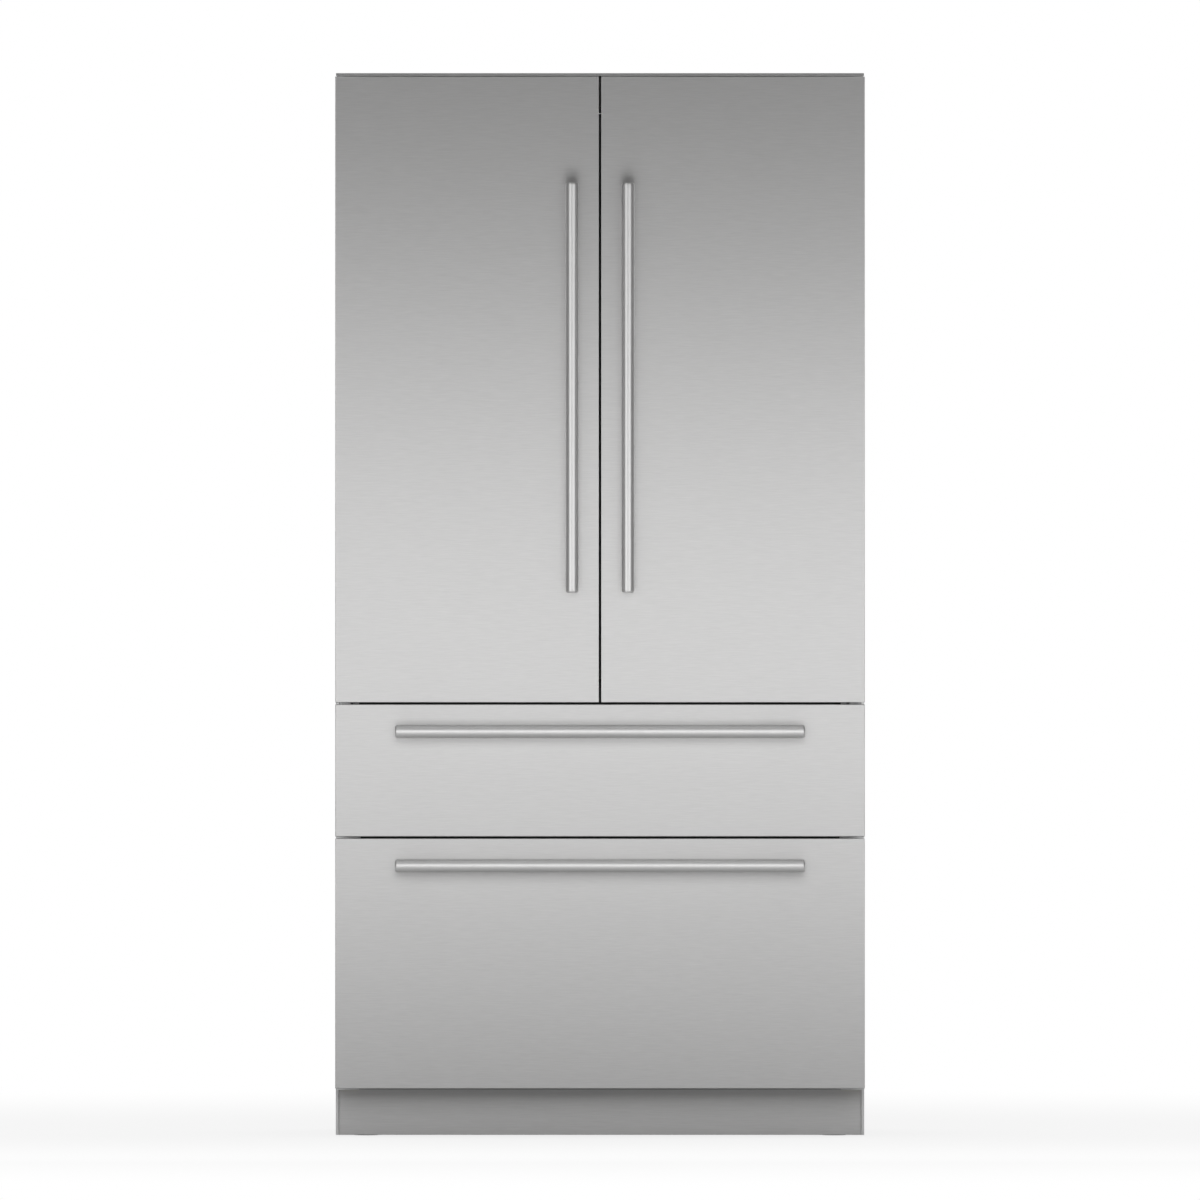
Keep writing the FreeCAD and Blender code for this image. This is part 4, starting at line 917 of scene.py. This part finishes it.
# %% [markdown]
# ## Lamps
# The steel is brightest at the height of the handles and darker towards the top and the bottom: it
# reflects a long, low lamp in front of it. A painted gradient would look wrong as soon as a door
# opens, so the lamp is a real softbox two metres away. Two softboxes at the sides and one overhead
# fill in the rest. A box's power follows from its area, so its brightness stays as written.

# %% Lamps
TO_OBJECT = (math.radians(90), 0, 0)
DOWN = (0, 0, 0)
SIDE_BOX = {"width": 2.4, "height": 4.0, "radiance": 0.85}
SOFTBOXES = {
    "softbox_front": {"width": 3.6, "height": 1.2, "radiance": 1.27, "place": (0, -2.2, 0.98)},
    "softbox_left": {**SIDE_BOX, "place": (-3.1, -4.0, 2.05)},
    "softbox_right": {**SIDE_BOX, "place": (3.1, -4.0, 2.05)},
    "softbox_top": {
        "width": 5.0, "height": 2.0, "radiance": 0.6, "place": (0, -1.6, 4.5), "turn": DOWN
    },
}


def softbox(name, width, height, radiance, place, turn=TO_OBJECT):
    lamp = bpy.data.lights.new(name, "AREA")
    lamp.shape = "RECTANGLE"
    lamp.size = width
    lamp.size_y = height
    lamp.energy = radiance * math.pi * width * height
    holder = bpy.data.objects.new(name, lamp)
    holder.location = place
    holder.rotation_euler = turn
    holder.visible_camera = False
    bpy.context.scene.collection.objects.link(holder)
    return lamp.energy


power = sum(softbox(name, **box) for name, box in SOFTBOXES.items())
print("lamps of", round(power), "W in all")

# %% [markdown]
# ## Room and floor
# The picture's background is white, but a white room in front of the steel would wash it out. So
# the world is white behind the object and dim before it, and a Light Path node shows plain white to
# the camera, also through glass. The floor is paper: it takes a soft shadow near the object and
# fades to white further out, so that no horizon shows.

# %% Room
ROOM_BEHIND = 1.0
ROOM_BEFORE = 0.07
SOFT_TURN = (-0.6, 0.6)
GLOSS_TURN = (0.1, 0.9)


def ray_kinds(graph):
    """For each kind of ray, 1 where such a ray arrives and 0 elsewhere."""
    kinds = ("Camera", "Glossy", "Transmission")
    return {kind: graph.node("ShaderNodeLightPath", out=f"Is {kind} Ray") for kind in kinds}


world = bpy.data.worlds.new("studio")
world.use_nodes = True
bpy.context.scene.world = world
room = Graph(world.node_tree)
rays = ray_kinds(room)
direction = room.node("ShaderNodeTexCoord", out="Generated")
forward = room.node("ShaderNodeSeparateXYZ", {}, {"Vector": direction}, "Y")
level = ROOM_BEFORE + room.ramp(forward, *SOFT_TURN) * (ROOM_BEHIND - ROOM_BEFORE)
shine = ROOM_BEFORE + room.ramp(forward, *GLOSS_TURN) * (ROOM_BEHIND - ROOM_BEFORE)
seen = rays["Camera"] + rays["Transmission"]
strength = seen + (1 - seen) * (level + rays["Glossy"] * (shine - level))
backdrop = world.node_tree.nodes["Background"]
room.plug(backdrop.inputs["Strength"], strength)
room.plug(backdrop.inputs["Color"], grey(1.0))
print("the room is", ROOM_BEHIND, "behind the object and", ROOM_BEFORE, "before it")

# %% Floor
FLOOR_HALF = 60.0
FLOOR_SHOWN = 0.8
FLOOR_FADE = (0.8, 4.0)
FLOOR_TONE = grey(0.9)
FLOOR_BOUNCE = grey(0.5)
FLOOR_IN_GLOSS = 0.1

shell = bmesh.new()
bmesh.ops.create_grid(shell, x_segments=1, y_segments=1, size=FLOOR_HALF)
floor_mesh = bpy.data.meshes.new("floor")
shell.to_mesh(floor_mesh)
shell.free()
floor = bpy.data.objects.new("floor", floor_mesh)
bpy.context.scene.collection.objects.link(floor)

paper = bpy.data.materials.new("floor_paper")
paper.use_nodes = True
sheet = Graph(paper.node_tree)
paper.node_tree.nodes.remove(paper.node_tree.nodes["Principled BSDF"])
rays = ray_kinds(sheet)
tone = sheet.mix(rays["Camera"], FLOOR_BOUNCE, FLOOR_TONE)
matt = sheet.node("ShaderNodeBsdfDiffuse", {}, {"Color": tone})
glow = sheet.node("ShaderNodeEmission", {}, {"Color": grey(1.0), "Strength": 1.0})
where = sheet.node("ShaderNodeTexCoord", out="Object")
away = sheet.node("ShaderNodeVectorMath", {"operation": "LENGTH"}, {0: where}, "Value")
paper_white = FLOOR_SHOWN + sheet.ramp(away, *FLOOR_FADE) * (1 - FLOOR_SHOWN)
shown = (rays["Camera"] + rays["Transmission"] + rays["Glossy"] * FLOOR_IN_GLOSS) * paper_white
surface = sheet.node("ShaderNodeMixShader", {}, {0: shown, 1: matt, 2: glow})
sheet.plug(paper.node_tree.nodes["Material Output"].inputs["Surface"], surface)
floor_mesh.materials.append(paper)

bpy.context.scene.view_settings.view_transform = "Standard"
print("the floor fades to white between", FLOOR_FADE[0], "and", FLOOR_FADE[1], "m")

# %% [markdown]
# The dressed object has to fit the CAD model's box.
